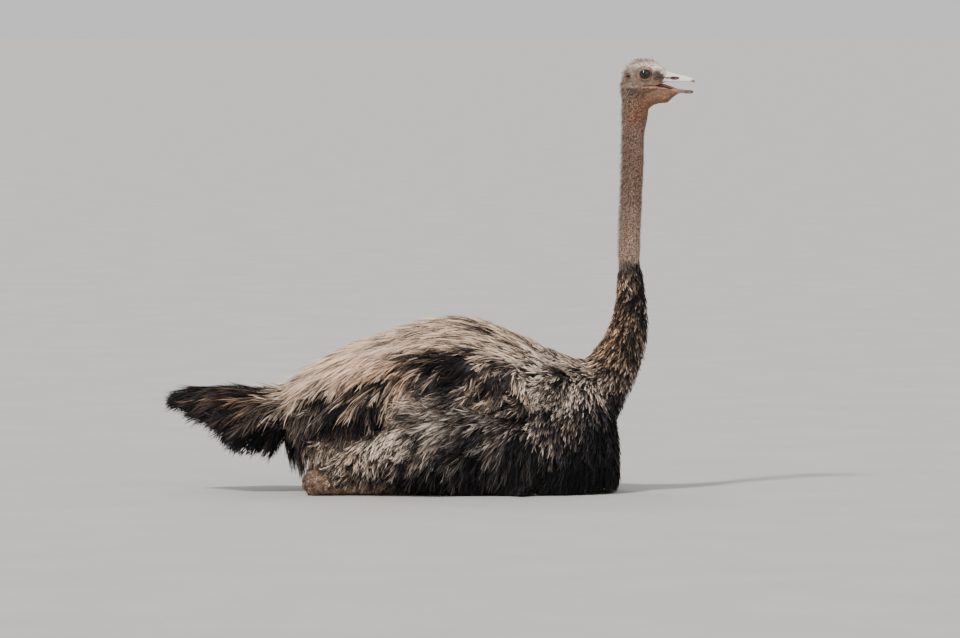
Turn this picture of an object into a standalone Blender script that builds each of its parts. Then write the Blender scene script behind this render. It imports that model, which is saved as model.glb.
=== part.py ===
"""A sitting ostrich hen at life size: head, bill, eyes, ears, neck, trunk, tail, wings and folded legs.

The bird faces +X, its left side is +Y and it sits on the floor at Z = 0, with the origin under the
middle of its length. Every piece is a closed solid out to the tips of its plumage. The pieces
touch across a gap of FIT, and each soft form is a loft whose rows are the sizes a modeller measures.
"""

import bmesh
import bpy
import numpy as np
from mathutils import Vector

# Driving dimensions, in metres
LENGTH = 1.464  # tail tip to bill tip
CROWN = 1.205  # floor to the top of the head
BACK = 0.487  # floor to the top of the back
TRUNK_HALF_WIDTH = 0.222
SHANK_OUT = 0.128  # the middle plane to the line of a folded shank
EYE_RADIUS = 0.0195
EYE = Vector((0.594, 0.0200, 1.160))  # centre of the left eyeball
EAR = Vector((0.5477, 0.0255, 1.1560))  # centre of the left ear opening
EAR_SIZE = Vector((0.0075, 0.0042, 0.0060))
EAR_HOLE = 0.62  # the hole's share of the ear's rim
EAR_HOLE_OUT = 0.8  # how far out the hole sits, as a share of the rim's half thickness
NOSTRIL = Vector((0.6740, 0.0225, 1.1525))
NOSTRIL_SIZE = Vector((0.0120, 0.0050, 0.0026))
FIT = 0.0003  # gap between two pieces that touch
GROW = 0.0004  # what a cutter stands out from the piece it makes room for
STEP = 0.001  # how far ahead and behind a bent line's direction is read
BACK_AND_UP = Vector((-1, 0, 1))  # the side on which a bent line's sections have their top
CHANNEL_SLACK = 0.0015  # room round a foot that lies in its channel
BELOW_FLOOR = 0.02  # how far the cutter of a channel reaches under the floor
TAIL_TIP = -LENGTH / 2
BILL_TIP = LENGTH / 2
LOWER_BILL_TIP = BILL_TIP - 0.0035

# Vertical sections: place along X, top, bottom, half width
TRUNK_ROWS = (
    (-0.428, 0.272, 0.178, 0.040),
    (-0.405, 0.303, 0.142, 0.080),
    (-0.330, 0.347, 0.098, 0.135),
    (-0.250, 0.389, 0.050, 0.172),
    (-0.140, 0.434, 0.000, 0.202),
    (-0.030, 0.470, -0.012, 0.217),
    (0.080, BACK, -0.018, TRUNK_HALF_WIDTH),
    (0.190, 0.466, -0.018, 0.219),
    (0.300, 0.414, -0.018, 0.205),
    (0.400, 0.380, -0.018, 0.180),
    (0.460, 0.355, -0.014, 0.150),
    (0.500, 0.270, -0.008, 0.112),
    (0.522, 0.120, -0.002, 0.065),
)
TAIL_ROWS = (
    (-0.350, 0.285, 0.180, 0.055),
    (-0.430, 0.298, 0.136, 0.084),
    (-0.500, 0.300, 0.118, 0.105),
    (-0.573, 0.312, 0.142, 0.112),
    (-0.640, 0.303, 0.186, 0.096),
    (-0.695, 0.283, 0.232, 0.060),
    (TAIL_TIP, 0.265, 0.256, 0.010),
)
SKULL_ROWS = (
    (0.5285, 1.141, 1.098, 0.0100),
    (0.5350, 1.168, 1.072, 0.0205),
    (0.5480, 1.188, 1.062, 0.0270),
    (0.5680, 1.2005, 1.064, 0.0320),
    (0.5920, CROWN, 1.080, 0.0350),
    (0.6180, 1.199, 1.102, 0.0330),
    (0.6380, 1.188, 1.120, 0.0285),
    (0.6520, 1.1795, 1.1355, 0.0255),
)
UPPER_BILL_ROWS = (
    (0.6520, 1.1795, 1.1355, 0.0255),
    (0.6720, 1.1675, 1.1395, 0.0240),
    (0.7040, 1.1585, 1.1415, 0.0190),
    (0.7220, 1.1515, 1.1410, 0.0150),
    (0.7280, 1.1480, 1.1395, 0.0115),
    (BILL_TIP, 1.1425, 1.1385, 0.0045),
)
JAW_ROWS = (
    (0.5700, 1.1080, 1.0640, 0.0150),
    (0.5860, 1.1250, 1.0560, 0.0245),
    (0.6000, 1.1290, 1.0590, 0.0275),
    (0.6200, 1.1290, 1.0740, 0.0280),
    (0.6370, 1.1285, 1.0800, 0.0262),
    (0.6560, 1.1270, 1.0840, 0.0236),
    (0.6760, 1.1225, 1.0985, 0.0195),
)
LOWER_BILL_ROWS = (
    (0.6760, 1.1225, 1.0985, 0.0195),
    (0.6930, 1.1195, 1.1085, 0.0165),
    (0.7100, 1.1170, 1.1075, 0.0140),
    (0.7220, 1.1160, 1.1080, 0.0110),
    (LOWER_BILL_TIP, 1.1140, 1.1105, 0.0045),
)

# Sections square to a bent line: x, y, z, then the half width to the side and fore and aft (or up)
NECK_ROWS = (
    (0.4000, 0, 0.215, 0.115, 0.090),
    (0.4650, 0, 0.290, 0.104, 0.084),
    (0.5150, 0, 0.365, 0.082, 0.070),
    (0.5450, 0, 0.440, 0.061, 0.057),
    (0.5545, 0, 0.506, 0.050, 0.049),
    (0.5545, 0, 0.562, 0.0450, 0.0445),
    (0.5530, 0, 0.603, 0.0380, 0.0380),
    (0.5510, 0, 0.635, 0.0300, 0.0315),
    (0.5525, 0, 0.700, 0.0285, 0.0300),
    (0.5567, 0, 0.812, 0.0280, 0.0300),
    (0.5610, 0, 0.923, 0.0285, 0.0313),
    (0.5627, 0, 1.006, 0.0290, 0.0332),
    (0.5645, 0, 1.048, 0.0295, 0.0362),
    (0.5660, 0, 1.090, 0.0285, 0.0370),
)
THIGH_ROWS = (
    (0.200, 0.150, 0.172, 0.020, 0.025),
    (0.165, 0.154, 0.168, 0.070, 0.068),
    (0.080, 0.160, 0.160, 0.086, 0.086),
    (-0.020, 0.164, 0.140, 0.082, 0.080),
    (-0.110, 0.162, 0.112, 0.060, 0.060),
    (-0.190, 0.153, 0.083, 0.041, 0.042),
    (-0.262, 0.142, 0.058, 0.029, 0.031),
)
SHANK_ROWS = (
    (-0.352, 0.142, 0.034, 0.010, 0.010),
    (-0.342, 0.142, 0.034, 0.026, 0.028),
    (-0.318, 0.141, 0.034, 0.035, 0.036),
    (-0.275, 0.138, 0.031, 0.034, 0.034),
    (-0.220, 0.134, 0.026, 0.026, 0.027),
    (-0.080, SHANK_OUT, 0.023, 0.021, 0.024),
    (0.060, 0.122, 0.023, 0.021, 0.024),
    (0.120, 0.119, 0.024, 0.027, 0.025),
    (0.155, 0.118, 0.022, 0.026, 0.022),
)
INNER_TOE_ROWS = (
    (0.1555, 0.110, 0.021, 0.0170, 0.0210),
    (0.195, 0.106, 0.020, 0.0185, 0.0210),
    (0.240, 0.103, 0.018, 0.0170, 0.0185),
    (0.285, 0.101, 0.018, 0.0185, 0.0190),
    (0.312, 0.100, 0.016, 0.0150, 0.0160),
)
OUTER_TOE_ROWS = (
    (0.1555, 0.1365, 0.015, 0.0080, 0.0130),
    (0.180, 0.145, 0.014, 0.0110, 0.0140),
    (0.215, 0.156, 0.013, 0.0105, 0.0130),
    (0.250, 0.166, 0.012, 0.0110, 0.0120),
    (0.268, 0.171, 0.010, 0.0075, 0.0095),
)
INNER_CLAW_ROWS = (
    (0.3125, 0.100, 0.014, 0.0110, 0.0125),
    (0.345, 0.0995, 0.011, 0.0085, 0.0100),
    (0.372, 0.0990, 0.0055, 0.0045, 0.0050),
    (0.385, 0.0988, 0.0028, 0.0015, 0.0022),
)
OUTER_CLAW_ROWS = (
    (0.2685, 0.1712, 0.0085, 0.0052, 0.0070),
    (0.281, 0.1748, 0.0060, 0.0038, 0.0048),
    (0.291, 0.1776, 0.0028, 0.0012, 0.0020),
)
# Wing sections: place along X, middle height, half height, distance out, half thickness
WING_ROWS = (
    (0.395, 0.288, 0.014, 0.168, 0.012),
    (0.350, 0.294, 0.058, 0.184, 0.030),
    (0.250, 0.304, 0.088, 0.196, 0.045),
    (0.110, 0.306, 0.104, 0.200, 0.056),
    (-0.030, 0.288, 0.106, 0.192, 0.060),
    (-0.150, 0.258, 0.092, 0.172, 0.058),
    (-0.250, 0.222, 0.062, 0.148, 0.046),
    (-0.320, 0.196, 0.018, 0.126, 0.014),
)
WING_LEAN = 0.22  # how much a folded wing leans in towards the back, per unit of height

# The cuts between lengths of neck, by height, and under the skull
FEATHER_LINE = 0.622
MID_NECK = 0.840
SKULL_BASE = 1.036

# How full the lower half of a section is: 2 is an ellipse, more is squarer
ROUND = 2.0
SOFT = 2.2
DEEP = 2.8
FLAT_BELOW = 3.0

# Sections along a piece, then sides round it
DIVISIONS = {
    "trunk": (18, 22),
    "tail": (11, 16),
    "neck_lower": (11, 16),
    "neck_middle": (5, 12),
    "neck_upper": (5, 12),
    "skull_stem": (4, 12),
    "head": (14, 16),
    "jaw": (10, 14),
    "bill_upper": (9, 12),
    "bill_lower": (9, 12),
    "shank": (14, 12),
    "thigh": (11, 13),
    "wing": (12, 14),
    "toe": (7, 9),
    "claw": (6, 7),
    "eye": (14, 9),
    "ear": (8, 5),
    "nostril": (10, 5),
}
DIGITS = {
    "toe_inner": INNER_TOE_ROWS,
    "toe_outer": OUTER_TOE_ROWS,
    "claw_inner": INNER_CLAW_ROWS,
    "claw_outer": OUTER_CLAW_ROWS,
}

# Colour, roughness
SKIN = ((0.48, 0.36, 0.29), 0.75)
PLUMAGE = ((0.13, 0.095, 0.070), 0.95)
DARK_PLUMAGE = ((0.045, 0.036, 0.032), 0.95)
HORN = ((0.62, 0.50, 0.44), 0.45)
CLAW_HORN = ((0.20, 0.16, 0.13), 0.40)
SCUTES = ((0.34, 0.25, 0.19), 0.65)
EYE_GLOSS = ((0.02, 0.015, 0.012), 0.05)


def clear_scene():
    for thing in list(bpy.data.objects):
        bpy.data.objects.remove(thing)


def make_collection(name):
    group = bpy.data.collections.new(name)
    bpy.context.scene.collection.children.link(group)
    return group


def make_material(name, look):
    colour, roughness = look
    material = bpy.data.materials.new(name)
    material.use_nodes = True
    shader = material.node_tree.nodes["Principled BSDF"]
    shader.inputs["Base Color"].default_value = (*colour, 1)
    shader.inputs["Roughness"].default_value = roughness
    return material


def sides_of():
    """The two sides of the bird: the word in a piece's name and the sign of Y."""
    return (("left", 1), ("right", -1))


def mirrored(point, side):
    return Vector((point.x, point.y * side, point.z))


def divisions(name):
    """How finely a piece is divided, from the start of its name."""
    return next(count for start, count in DIVISIONS.items() if name.startswith(start))


def flowing(rows, places):
    """The rows' columns at these places of the first column, on a cubic through every row."""
    table = np.array(rows, float)
    at = table[:, 0]
    slopes = np.gradient(table, at, axis=0)
    index = np.clip(np.searchsorted(at, places, side="right") - 1, 0, len(at) - 2)
    span = (at[index + 1] - at[index])[:, None]
    u = (np.asarray(places)[:, None] - at[index][:, None]) / span
    start, end = table[index], table[index + 1]
    return (
        (2 * u**3 - 3 * u**2 + 1) * start
        + (u**3 - 2 * u**2 + u) * span * slopes[index]
        + (3 * u**2 - 2 * u**3) * end
        + (u**3 - u**2) * span * slopes[index + 1]
    )


def eased(low, high, count):
    """Places from low to high that crowd together at both ends, where a form closes."""
    return low + (high - low) * (1 - np.cos(np.linspace(0, np.pi, count))) / 2


def ring(half_width, up, down, sides, fullness):
    """A closed section: (across, height) with its own rise and drop, and a fuller lower half."""
    angles = np.linspace(0, 2 * np.pi, sides, endpoint=False)
    c, s = np.cos(angles), np.sin(angles)
    power = np.where(s < 0, 2 / fullness, 1.0)
    across = half_width * np.sign(c) * np.abs(c) ** power
    height = np.where(s > 0, up, down) * np.sign(s) * np.abs(s) ** power
    return across, height


def arch(half_width, up, down):
    """A channel's section: half an octagon round the arch, on legs that run down under the floor."""
    corner = np.tan(np.pi / 8)
    across = half_width * np.array([1, corner, -corner, -1, -1, 1])
    height = np.array([up * corner, up, up, up * corner, -down, -down])
    return across, height


def face_outwards(mesh):
    bmesh.ops.recalc_face_normals(mesh, faces=mesh.faces)
    if mesh.calc_volume(signed=True) < 0:
        bmesh.ops.reverse_faces(mesh, faces=mesh.faces)


def finish_mesh(name, mesh, look, group):
    data = bpy.data.meshes.new(name)
    mesh.to_mesh(data)
    mesh.free()
    piece = bpy.data.objects.new(name, data)
    piece.data.materials.append(make_material(name, look))
    data.shade_smooth()
    group.objects.link(piece)
    return piece


def hide_cutter(cutter):
    cutter.hide_render = True
    cutter.display_type = "WIRE"
    return cutter


def solid_from_rings(name, rings, look, group, lowest=0.0):
    """A loft through closed rings of points, capped at both ends and flattened at the floor."""
    mesh = bmesh.new()
    loops = [[mesh.verts.new((x, y, max(z, lowest))) for x, y, z in points] for points in rings]
    for first, second in zip(loops, loops[1:]):
        for i, vertex in enumerate(first):
            j = (i + 1) % len(first)
            mesh.faces.new((vertex, first[j], second[j], second[i]))
    for loop in (loops[0], loops[-1]):
        hub = mesh.verts.new(sum((v.co for v in loop), Vector()) / len(loop))
        for i, vertex in enumerate(loop):
            mesh.faces.new((vertex, loop[(i + 1) % len(loop)], hub))
    bmesh.ops.triangulate(mesh, faces=mesh.faces)  # flat faces, so that a cut follows its cutter
    face_outwards(mesh)
    return finish_mesh(name, mesh, look, group)


def standing_loft(name, rows, look, group, fullness=ROUND):
    """A loft of upright sections along X, such as the trunk or the skull."""
    count, sides = divisions(name)
    ordered = sorted(rows)
    rings = []
    for x, top, bottom, half_width in flowing(ordered, eased(ordered[0][0], ordered[-1][0], count)):
        middle = (top + bottom) / 2
        across, height = ring(half_width, top - middle, middle - bottom, sides, fullness)
        rings.append([(x, y, middle + z) for y, z in zip(across, height)])
    return solid_from_rings(name, rings, look, group)


def length_marks(rows):
    """The running length at each row of a bent line."""
    line = np.array(rows, float)[:, :3]
    return np.concatenate([[0], np.cumsum(np.linalg.norm(np.diff(line, axis=0), axis=1))])


def bent_sections(rows, places):
    """The rows' sizes along a bent line, each with the two directions of its section."""
    marked = np.column_stack([length_marks(rows), np.array(rows, float)])
    table = flowing(marked, places)[:, 1:]
    ahead = flowing(marked, np.minimum(places + STEP, marked[-1, 0]))
    behind = flowing(marked, np.maximum(places - STEP, 0))
    for (x, y, z, half_width, half_depth), way in zip(table, (ahead - behind)[:, 1:4]):
        forward = Vector(way).normalized()
        level = (Vector((0, 1, 0)) - forward * forward.y).normalized()
        rise = level.cross(forward)
        rise = -rise if rise.dot(BACK_AND_UP) < 0 else rise
        yield Vector((x, y, z)), level, rise, half_width, half_depth


def bent_loft(name, rows, look, group, side=1, start=0.0, end=1.0):
    """A loft along a bent line, from one share of its length to another."""
    count, sides = divisions(name)
    total = length_marks(rows)[-1]
    places = np.linspace(start * total, end * total, count)
    if (start, end) == (0.0, 1.0):
        places = eased(0, total, count)
    rings = []
    for centre, level, rise, half_width, half_depth in bent_sections(rows, places):
        across, height = ring(half_width, half_depth, half_depth, sides, SOFT)
        points = [centre + level * a + rise * h for a, h in zip(across, height)]
        rings.append([(p.x, p.y * side, p.z) for p in points])
    return solid_from_rings(name, rings, look, group)


def channel_cutter(name, rows, group):
    """The room that a folded shank or toe on the left takes under the trunk, open at the floor."""
    count, _ = divisions(name)
    sections = list(bent_sections(rows, eased(0, length_marks(rows)[-1], count)))
    rings = []
    for centre, level, _, half_width, half_depth in sections:
        across, height = arch(half_width, half_depth, centre.z + BELOW_FLOOR)
        rings.append([centre + level * a + Vector((0, 0, h)) for a, h in zip(across, height)])
    slack = (sections[0][0] - sections[-1][0]).normalized() * CHANNEL_SLACK
    rings[0] = [point + slack for point in rings[0]]
    rings[-1] = [point - slack for point in rings[-1]]
    cutter = solid_from_rings(name, rings, SKIN, group, lowest=-BELOW_FLOOR)
    return grown(hide_cutter(cutter), group, CHANNEL_SLACK)


def oval(name, centre, half_sizes, look, group):
    """A ball stretched to three half sizes."""
    segments, rings = divisions(name)
    mesh = bmesh.new()
    bmesh.ops.create_uvsphere(mesh, u_segments=segments, v_segments=rings, radius=1)
    for vertex in mesh.verts:
        vertex.co = Vector(centre) + Vector(a * b for a, b in zip(vertex.co, half_sizes))
    return finish_mesh(name, mesh, look, group)


def grown(piece, group, by=GROW):
    """A cutter that stands out from the piece by the gap that two touching pieces keep."""
    mesh = bmesh.new()
    mesh.from_mesh(piece.data)
    mesh.normal_update()
    for vertex in mesh.verts:
        vertex.co += vertex.normal * by
    return hide_cutter(finish_mesh(piece.name + "_room", mesh, SKIN, group))


def change(piece, operation, others, solver="EXACT"):
    for other in others:
        boolean = piece.modifiers.new(operation.title(), "BOOLEAN")
        boolean.operation = operation
        boolean.solver = solver
        boolean.object = other


def cut(piece, *cutters):
    change(piece, "DIFFERENCE", cutters)


def mirror_left_half(piece):
    """Makes the right half of a piece from its left, cuts included."""
    mirror = piece.modifiers.new("Mirror", "MIRROR")
    mirror.use_axis = (False, True, False)
    mirror.use_bisect_axis = (False, True, False)
    mirror.merge_threshold = 0.0001
    mirror.bisect_threshold = 0.00001


def neck_share(height):
    """The share of the neck's line at which it reaches a height."""
    marks = length_marks(NECK_ROWS)
    heights = [row[2] for row in NECK_ROWS]
    return float(np.interp(height, heights, marks) / marks[-1])


def make_neck(parts, cutters, trunk_room):
    """Three lengths of neck, the lowest let into the trunk. Returns the stem that joins the skull."""
    half_gap = FIT / 2 / length_marks(NECK_ROWS)[-1]
    line, middle, base = (neck_share(height) for height in (FEATHER_LINE, MID_NECK, SKULL_BASE))
    lower = bent_loft("neck_lower", NECK_ROWS, DARK_PLUMAGE, parts, end=line - half_gap)
    cut(lower, trunk_room)
    for name, start, end in (("neck_middle", line, middle), ("neck_upper", middle, base)):
        bent_loft(name, NECK_ROWS, SKIN, parts, start=start + half_gap, end=end - half_gap)
    return hide_cutter(bent_loft("skull_stem", NECK_ROWS, SKIN, cutters, start=base + half_gap))


def make_head(parts, cutters, stem):
    """Skull with sockets and ear openings, jaw below the open mouth, and both halves of the bill."""
    jaw = standing_loft("jaw", JAW_ROWS, SKIN, parts, SOFT)
    head = standing_loft("head", SKULL_ROWS, SKIN, parts, SOFT)
    change(head, "UNION", (stem,))
    cut(head, grown(jaw, cutters))
    for word, side in sides_of():
        eye = oval(f"eye_{word}", mirrored(EYE, side), (EYE_RADIUS,) * 3, EYE_GLOSS, parts)
        ear = make_ear(word, side, parts, cutters)
        if side > 0:
            cut(head, grown(eye, cutters), grown(ear, cutters))
    mirror_left_half(head)
    make_bill(parts, cutters)


def make_ear(word, side, parts, cutters):
    """The low rim of an ear opening, seated in a pit behind the eye."""
    centre = mirrored(EAR, side)
    rim = oval(f"ear_{word}", centre, EAR_SIZE, SKIN, parts)
    mouth = centre + Vector((0, side * EAR_SIZE.y * EAR_HOLE_OUT, 0))
    cut(rim, hide_cutter(oval(f"ear_{word}_hole", mouth, EAR_SIZE * EAR_HOLE, SKIN, cutters)))
    return rim


def behind_gap(rows):
    """The same rows with the first moved on by the gap between two pieces that touch."""
    (x, *sizes), *others = rows
    return ((x + FIT, *sizes), *others)


def make_bill(parts, cutters):
    """Broad flat upper bill with a slit nostril each side, and the shallow lower bill."""
    upper = standing_loft("bill_upper", behind_gap(UPPER_BILL_ROWS), HORN, parts, FLAT_BELOW)
    standing_loft("bill_lower", behind_gap(LOWER_BILL_ROWS), HORN, parts, SOFT)
    cut(upper, hide_cutter(oval("nostril", NOSTRIL, NOSTRIL_SIZE, SKIN, cutters)))
    mirror_left_half(upper)


def make_leg(word, side, parts, cutters):
    """One folded leg, lying forward under the trunk from the hock. Returns the thigh's room."""
    shank = bent_loft(f"shank_{word}", SHANK_ROWS, SCUTES, parts, side)
    thigh = bent_loft(f"thigh_{word}", THIGH_ROWS, PLUMAGE, parts, side)
    shank_room = grown(shank, cutters)
    cut(thigh, shank_room)
    for digit in ("inner", "outer"):
        toe = bent_loft(f"toe_{digit}_{word}", DIGITS[f"toe_{digit}"], SCUTES, parts, side)
        claw = bent_loft(f"claw_{digit}_{word}", DIGITS[f"claw_{digit}"], CLAW_HORN, parts, side)
        cut(claw, grown(toe, cutters))
        cut(toe, shank_room)
    return grown(thigh, cutters)


def cut_leg_room(trunk, thigh_room, cutters):
    """Takes a thigh and the channels of a folded foot out of the trunk's left half."""
    rooms = [thigh_room, channel_cutter("shank_channel", SHANK_ROWS, cutters)]
    for name, rows in DIGITS.items():
        rooms.append(channel_cutter(f"{name}_channel", rows, cutters))
    change(trunk, "DIFFERENCE", rooms, solver="MANIFOLD")  # EXACT loses the trunk here
    mirror_left_half(trunk)


def make_wing(word, side, parts, rooms):
    """A folded wing: a long lens laid on the trunk's side, leaning in towards the back."""
    count, sides = divisions("wing")
    ordered = sorted(WING_ROWS)
    places = eased(ordered[0][0], ordered[-1][0], count)
    rings = []
    for x, middle, half_height, out, half_thickness in flowing(ordered, places):
        section = zip(*ring(half_thickness, half_height, half_height, sides, SOFT))
        rings.append([(x, side * (out + a - WING_LEAN * h), middle + h) for a, h in section])
    wing = solid_from_rings(f"wing_{word}", rings, PLUMAGE, parts)
    cut(wing, *rooms)


def main():
    clear_scene()
    parts = make_collection("ostrich")
    cutters = make_collection("cutters")
    trunk = standing_loft("trunk", TRUNK_ROWS, PLUMAGE, parts, DEEP)
    trunk_room = grown(trunk, cutters)
    tail = standing_loft("tail", TAIL_ROWS, DARK_PLUMAGE, parts)
    cut(tail, trunk_room)
    make_head(parts, cutters, make_neck(parts, cutters, trunk_room))
    thigh_rooms = []
    for word, side in sides_of():
        thigh_rooms.append(make_leg(word, side, parts, cutters))
        make_wing(word, side, parts, (trunk_room, thigh_rooms[-1]))
    cut_leg_room(trunk, thigh_rooms[0], cutters)


main()
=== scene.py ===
import math

import bmesh
import bpy
import numpy as np
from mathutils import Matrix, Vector
from mathutils.bvhtree import BVHTree


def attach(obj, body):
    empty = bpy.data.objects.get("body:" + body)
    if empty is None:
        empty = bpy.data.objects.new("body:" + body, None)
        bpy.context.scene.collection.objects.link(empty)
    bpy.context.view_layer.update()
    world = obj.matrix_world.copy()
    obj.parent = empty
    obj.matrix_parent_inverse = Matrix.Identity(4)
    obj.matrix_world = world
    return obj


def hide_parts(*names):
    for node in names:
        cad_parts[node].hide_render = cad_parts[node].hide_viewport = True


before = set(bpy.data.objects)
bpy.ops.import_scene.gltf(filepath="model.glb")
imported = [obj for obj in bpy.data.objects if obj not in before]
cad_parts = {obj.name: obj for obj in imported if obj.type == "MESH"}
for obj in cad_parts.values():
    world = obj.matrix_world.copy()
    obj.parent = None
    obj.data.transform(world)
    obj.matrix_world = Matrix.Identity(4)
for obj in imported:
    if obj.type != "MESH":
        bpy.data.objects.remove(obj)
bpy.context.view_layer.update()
scene = bpy.context.scene
bird = "root"  # the one body of a still model
sides = (("left", 1), ("right", -1))


def smoothStep(low, high, value):
    t = np.clip((value - low) / (high - low), 0, 1)
    return t * t * (3 - 2 * t)


def hump(value, centre, width):
    return np.exp(-(((value - centre) / width) ** 2))


def unit(vectors):
    return vectors / np.maximum(np.linalg.norm(vectors, axis=-1, keepdims=True), 1e-9)


def ripple(points, size, seed):
    # smooth noise of about -1 to 1 made of a few slanting waves
    rng = np.random.default_rng(seed)
    total = np.zeros(points.shape[:-1])
    for _ in range(6):
        way = unit(rng.normal(size=3)) * 2 * np.pi / size * rng.uniform(0.6, 1.5)
        total += np.sin(points @ way + rng.uniform(0, 2 * np.pi))
    return total / 2


def flowing(rows, places):
    # the rows' columns at these places of the first column, on a cubic through every row
    table = np.array(rows, float)
    at = table[:, 0]
    slopes = np.gradient(table, at, axis=0)
    index = np.clip(np.searchsorted(at, places, side="right") - 1, 0, len(at) - 2)
    span = (at[index + 1] - at[index])[:, None]
    u = (np.asarray(places)[:, None] - at[index][:, None]) / span
    return (
        (2 * u**3 - 3 * u**2 + 1) * table[index]
        + (u**3 - 2 * u**2 + u) * span * slopes[index]
        + (3 * u**2 - 2 * u**3) * table[index + 1]
        + (u**3 - u**2) * span * slopes[index + 1]
    )


def eased(low, high, count):
    return low + (high - low) * (1 - np.cos(np.linspace(0, np.pi, count))) / 2


def turnsOf(count):
    return np.linspace(0, 2 * np.pi, count, endpoint=False)


def lengthsAlong(line):
    return np.concatenate([[0], np.cumsum(np.linalg.norm(np.diff(line, axis=0), axis=1))])


def addObject(name, mesh):
    piece = bpy.data.objects.new(name, mesh)
    scene.collection.objects.link(piece)
    return piece


def meshFrom(name, points, faces):
    # faces is an array of triangles or of quads
    points, faces = np.asarray(points, np.float32), np.asarray(faces, np.int32)
    mesh = bpy.data.meshes.new(name)
    mesh.vertices.add(len(points))
    mesh.vertices.foreach_set("co", points.ravel())
    mesh.loops.add(faces.size)
    mesh.loops.foreach_set("vertex_index", faces.ravel())
    mesh.polygons.add(len(faces))
    mesh.polygons.foreach_set("loop_start", np.arange(0, faces.size, faces.shape[1], dtype=np.int32))
    mesh.update(calc_edges=True)
    mesh.shade_smooth()
    return mesh


def pointsOf(mesh):
    points = np.empty(len(mesh.vertices) * 3)
    mesh.vertices.foreach_get("co", points)
    return points.reshape(-1, 3)


def normalsOf(mesh):
    normals = np.empty(len(mesh.vertices) * 3)
    mesh.vertex_normals.foreach_get("vector", normals)
    return normals.reshape(-1, 3)


def edgesOf(mesh):
    edges = np.empty(len(mesh.edges) * 2, np.int32)
    mesh.edges.foreach_get("vertices", edges)
    return edges.reshape(-1, 2)


def setPoints(mesh, points):
    mesh.vertices.foreach_set("co", points.ravel())
    mesh.update()


def giveValues(mesh, **named):
    # numbers or vectors for every point, under these names
    for label, values in named.items():
        values = np.asarray(values, np.float32)
        kind, field = ("FLOAT", "value") if values.ndim == 1 else ("FLOAT_VECTOR", "vector")
        mesh.attributes.new(label, kind, "POINT").data.foreach_set(field, values.ravel())


def giveSheet(mesh, uv, faces):
    # the map on which a piece's own colours are baked
    layer = mesh.uv_layers.new(name="OFBake")
    layer.uv.foreach_set("vector", uv[faces.ravel()].astype(np.float32).ravel())


def asMesh(bm, name):
    mesh = bpy.data.meshes.new(name)
    bm.to_mesh(mesh)
    bm.free()
    return mesh


def relax(points, edges, rounds, hold):
    # moves each point towards the middle of its neighbours; hold is 1 where a point stays
    degree = np.bincount(edges.ravel(), minlength=len(points))[:, None]
    free = 0.5 * (1 - hold)[:, None]
    for _ in range(rounds):
        total = np.zeros_like(points)
        for a, b in ((0, 1), (1, 0)):
            for axis in range(3):
                pull = points[edges[:, b], axis]
                total[:, axis] += np.bincount(edges[:, a], weights=pull, minlength=len(points))
        points = points + free * (total / np.maximum(degree, 1) - points)
    return points


def closedLoft(rings, name):
    # a loft through closed rings of points, with a fan at each end, facing out
    bm = bmesh.new()
    loops = [[bm.verts.new(p) for p in ring] for ring in rings]
    for first, second in zip(loops, loops[1:]):
        for i in range(len(first)):
            j = (i + 1) % len(first)
            bm.faces.new((first[i], first[j], second[j], second[i]))
    for loop in (loops[0], loops[-1]):
        hub = bm.verts.new(sum((v.co for v in loop), Vector()) / len(loop))
        for i in range(len(loop)):
            bm.faces.new((loop[i], loop[(i + 1) % len(loop)], hub))
    bmesh.ops.recalc_face_normals(bm, faces=bm.faces)
    if bm.calc_volume(signed=True) < 0:
        bmesh.ops.reverse_faces(bm, faces=bm.faces)
    mesh = asMesh(bm, name)
    mesh.shade_smooth()
    return mesh


def ovalRing(halfWidth, up, down, count, fullness=2.0):
    # across and height round a section; fullness over 2 squares its foot
    turns = turnsOf(count)
    c, s = np.cos(turns), np.sin(turns)
    low = np.where(s < 0, 2 / fullness, 1.0)
    across = halfWidth * np.sign(c) * np.abs(c) ** low
    height = np.where(s > 0, up * np.abs(s), -down * np.abs(s) ** low)
    return across, height


def uprightLoft(rows, count, around, fullness=2.0):
    ordered = sorted(rows)
    rings = []
    for x, top, bottom, half in flowing(ordered, eased(ordered[0][0], ordered[-1][0], count)):
        middle = (top + bottom) / 2
        across, height = ovalRing(half, top - middle, middle - bottom, around, fullness)
        rings.append(np.column_stack([np.full(around, x), across, middle + height]))
    return closedLoft(rings, "form")


def bentSections(rows, count):
    # centre, sideways, upward and half sizes along a bent line
    line = np.array(rows, float)
    marks = lengthsAlong(line[:, :3])
    marked = np.column_stack([marks, line])
    places = np.linspace(0, marks[-1], count)
    table = flowing(marked, places)[:, 1:]
    step = 0.002
    ahead = flowing(marked, np.minimum(places + step, marks[-1]))[:, 1:4]
    behind = flowing(marked, np.maximum(places - step, 0))[:, 1:4]
    forward = unit(ahead - behind)
    level = unit(np.array([0, 1, 0]) - forward * forward[:, 1:2])
    rise = np.cross(level, forward)
    rise *= np.where(rise @ np.array([-1, 0, 1]) < 0, -1, 1)[:, None]
    return table[:, :3], level, rise, table[:, 3], table[:, 4]


def bentLoft(rows, count, around, side=1, name="form"):
    centres, level, rise, halfSide, halfDepth = bentSections(rows, count)
    rings = []
    for i in range(count):
        across, height = ovalRing(halfSide[i], halfDepth[i], halfDepth[i], around, 2.1)
        ring = centres[i] + level[i] * across[:, None] + rise[i] * height[:, None]
        ring[:, 1] *= side
        rings.append(ring)
    return closedLoft(rings, name)


def joinedMesh(meshes):
    bm = bmesh.new()
    for mesh in meshes:
        bm.from_mesh(mesh)
    return asMesh(bm, "joined")


def evaluatedCopy(piece, name):
    graph = bpy.context.evaluated_depsgraph_get()
    mesh = bpy.data.meshes.new_from_object(piece.evaluated_get(graph))
    mesh.name = name
    return mesh


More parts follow.
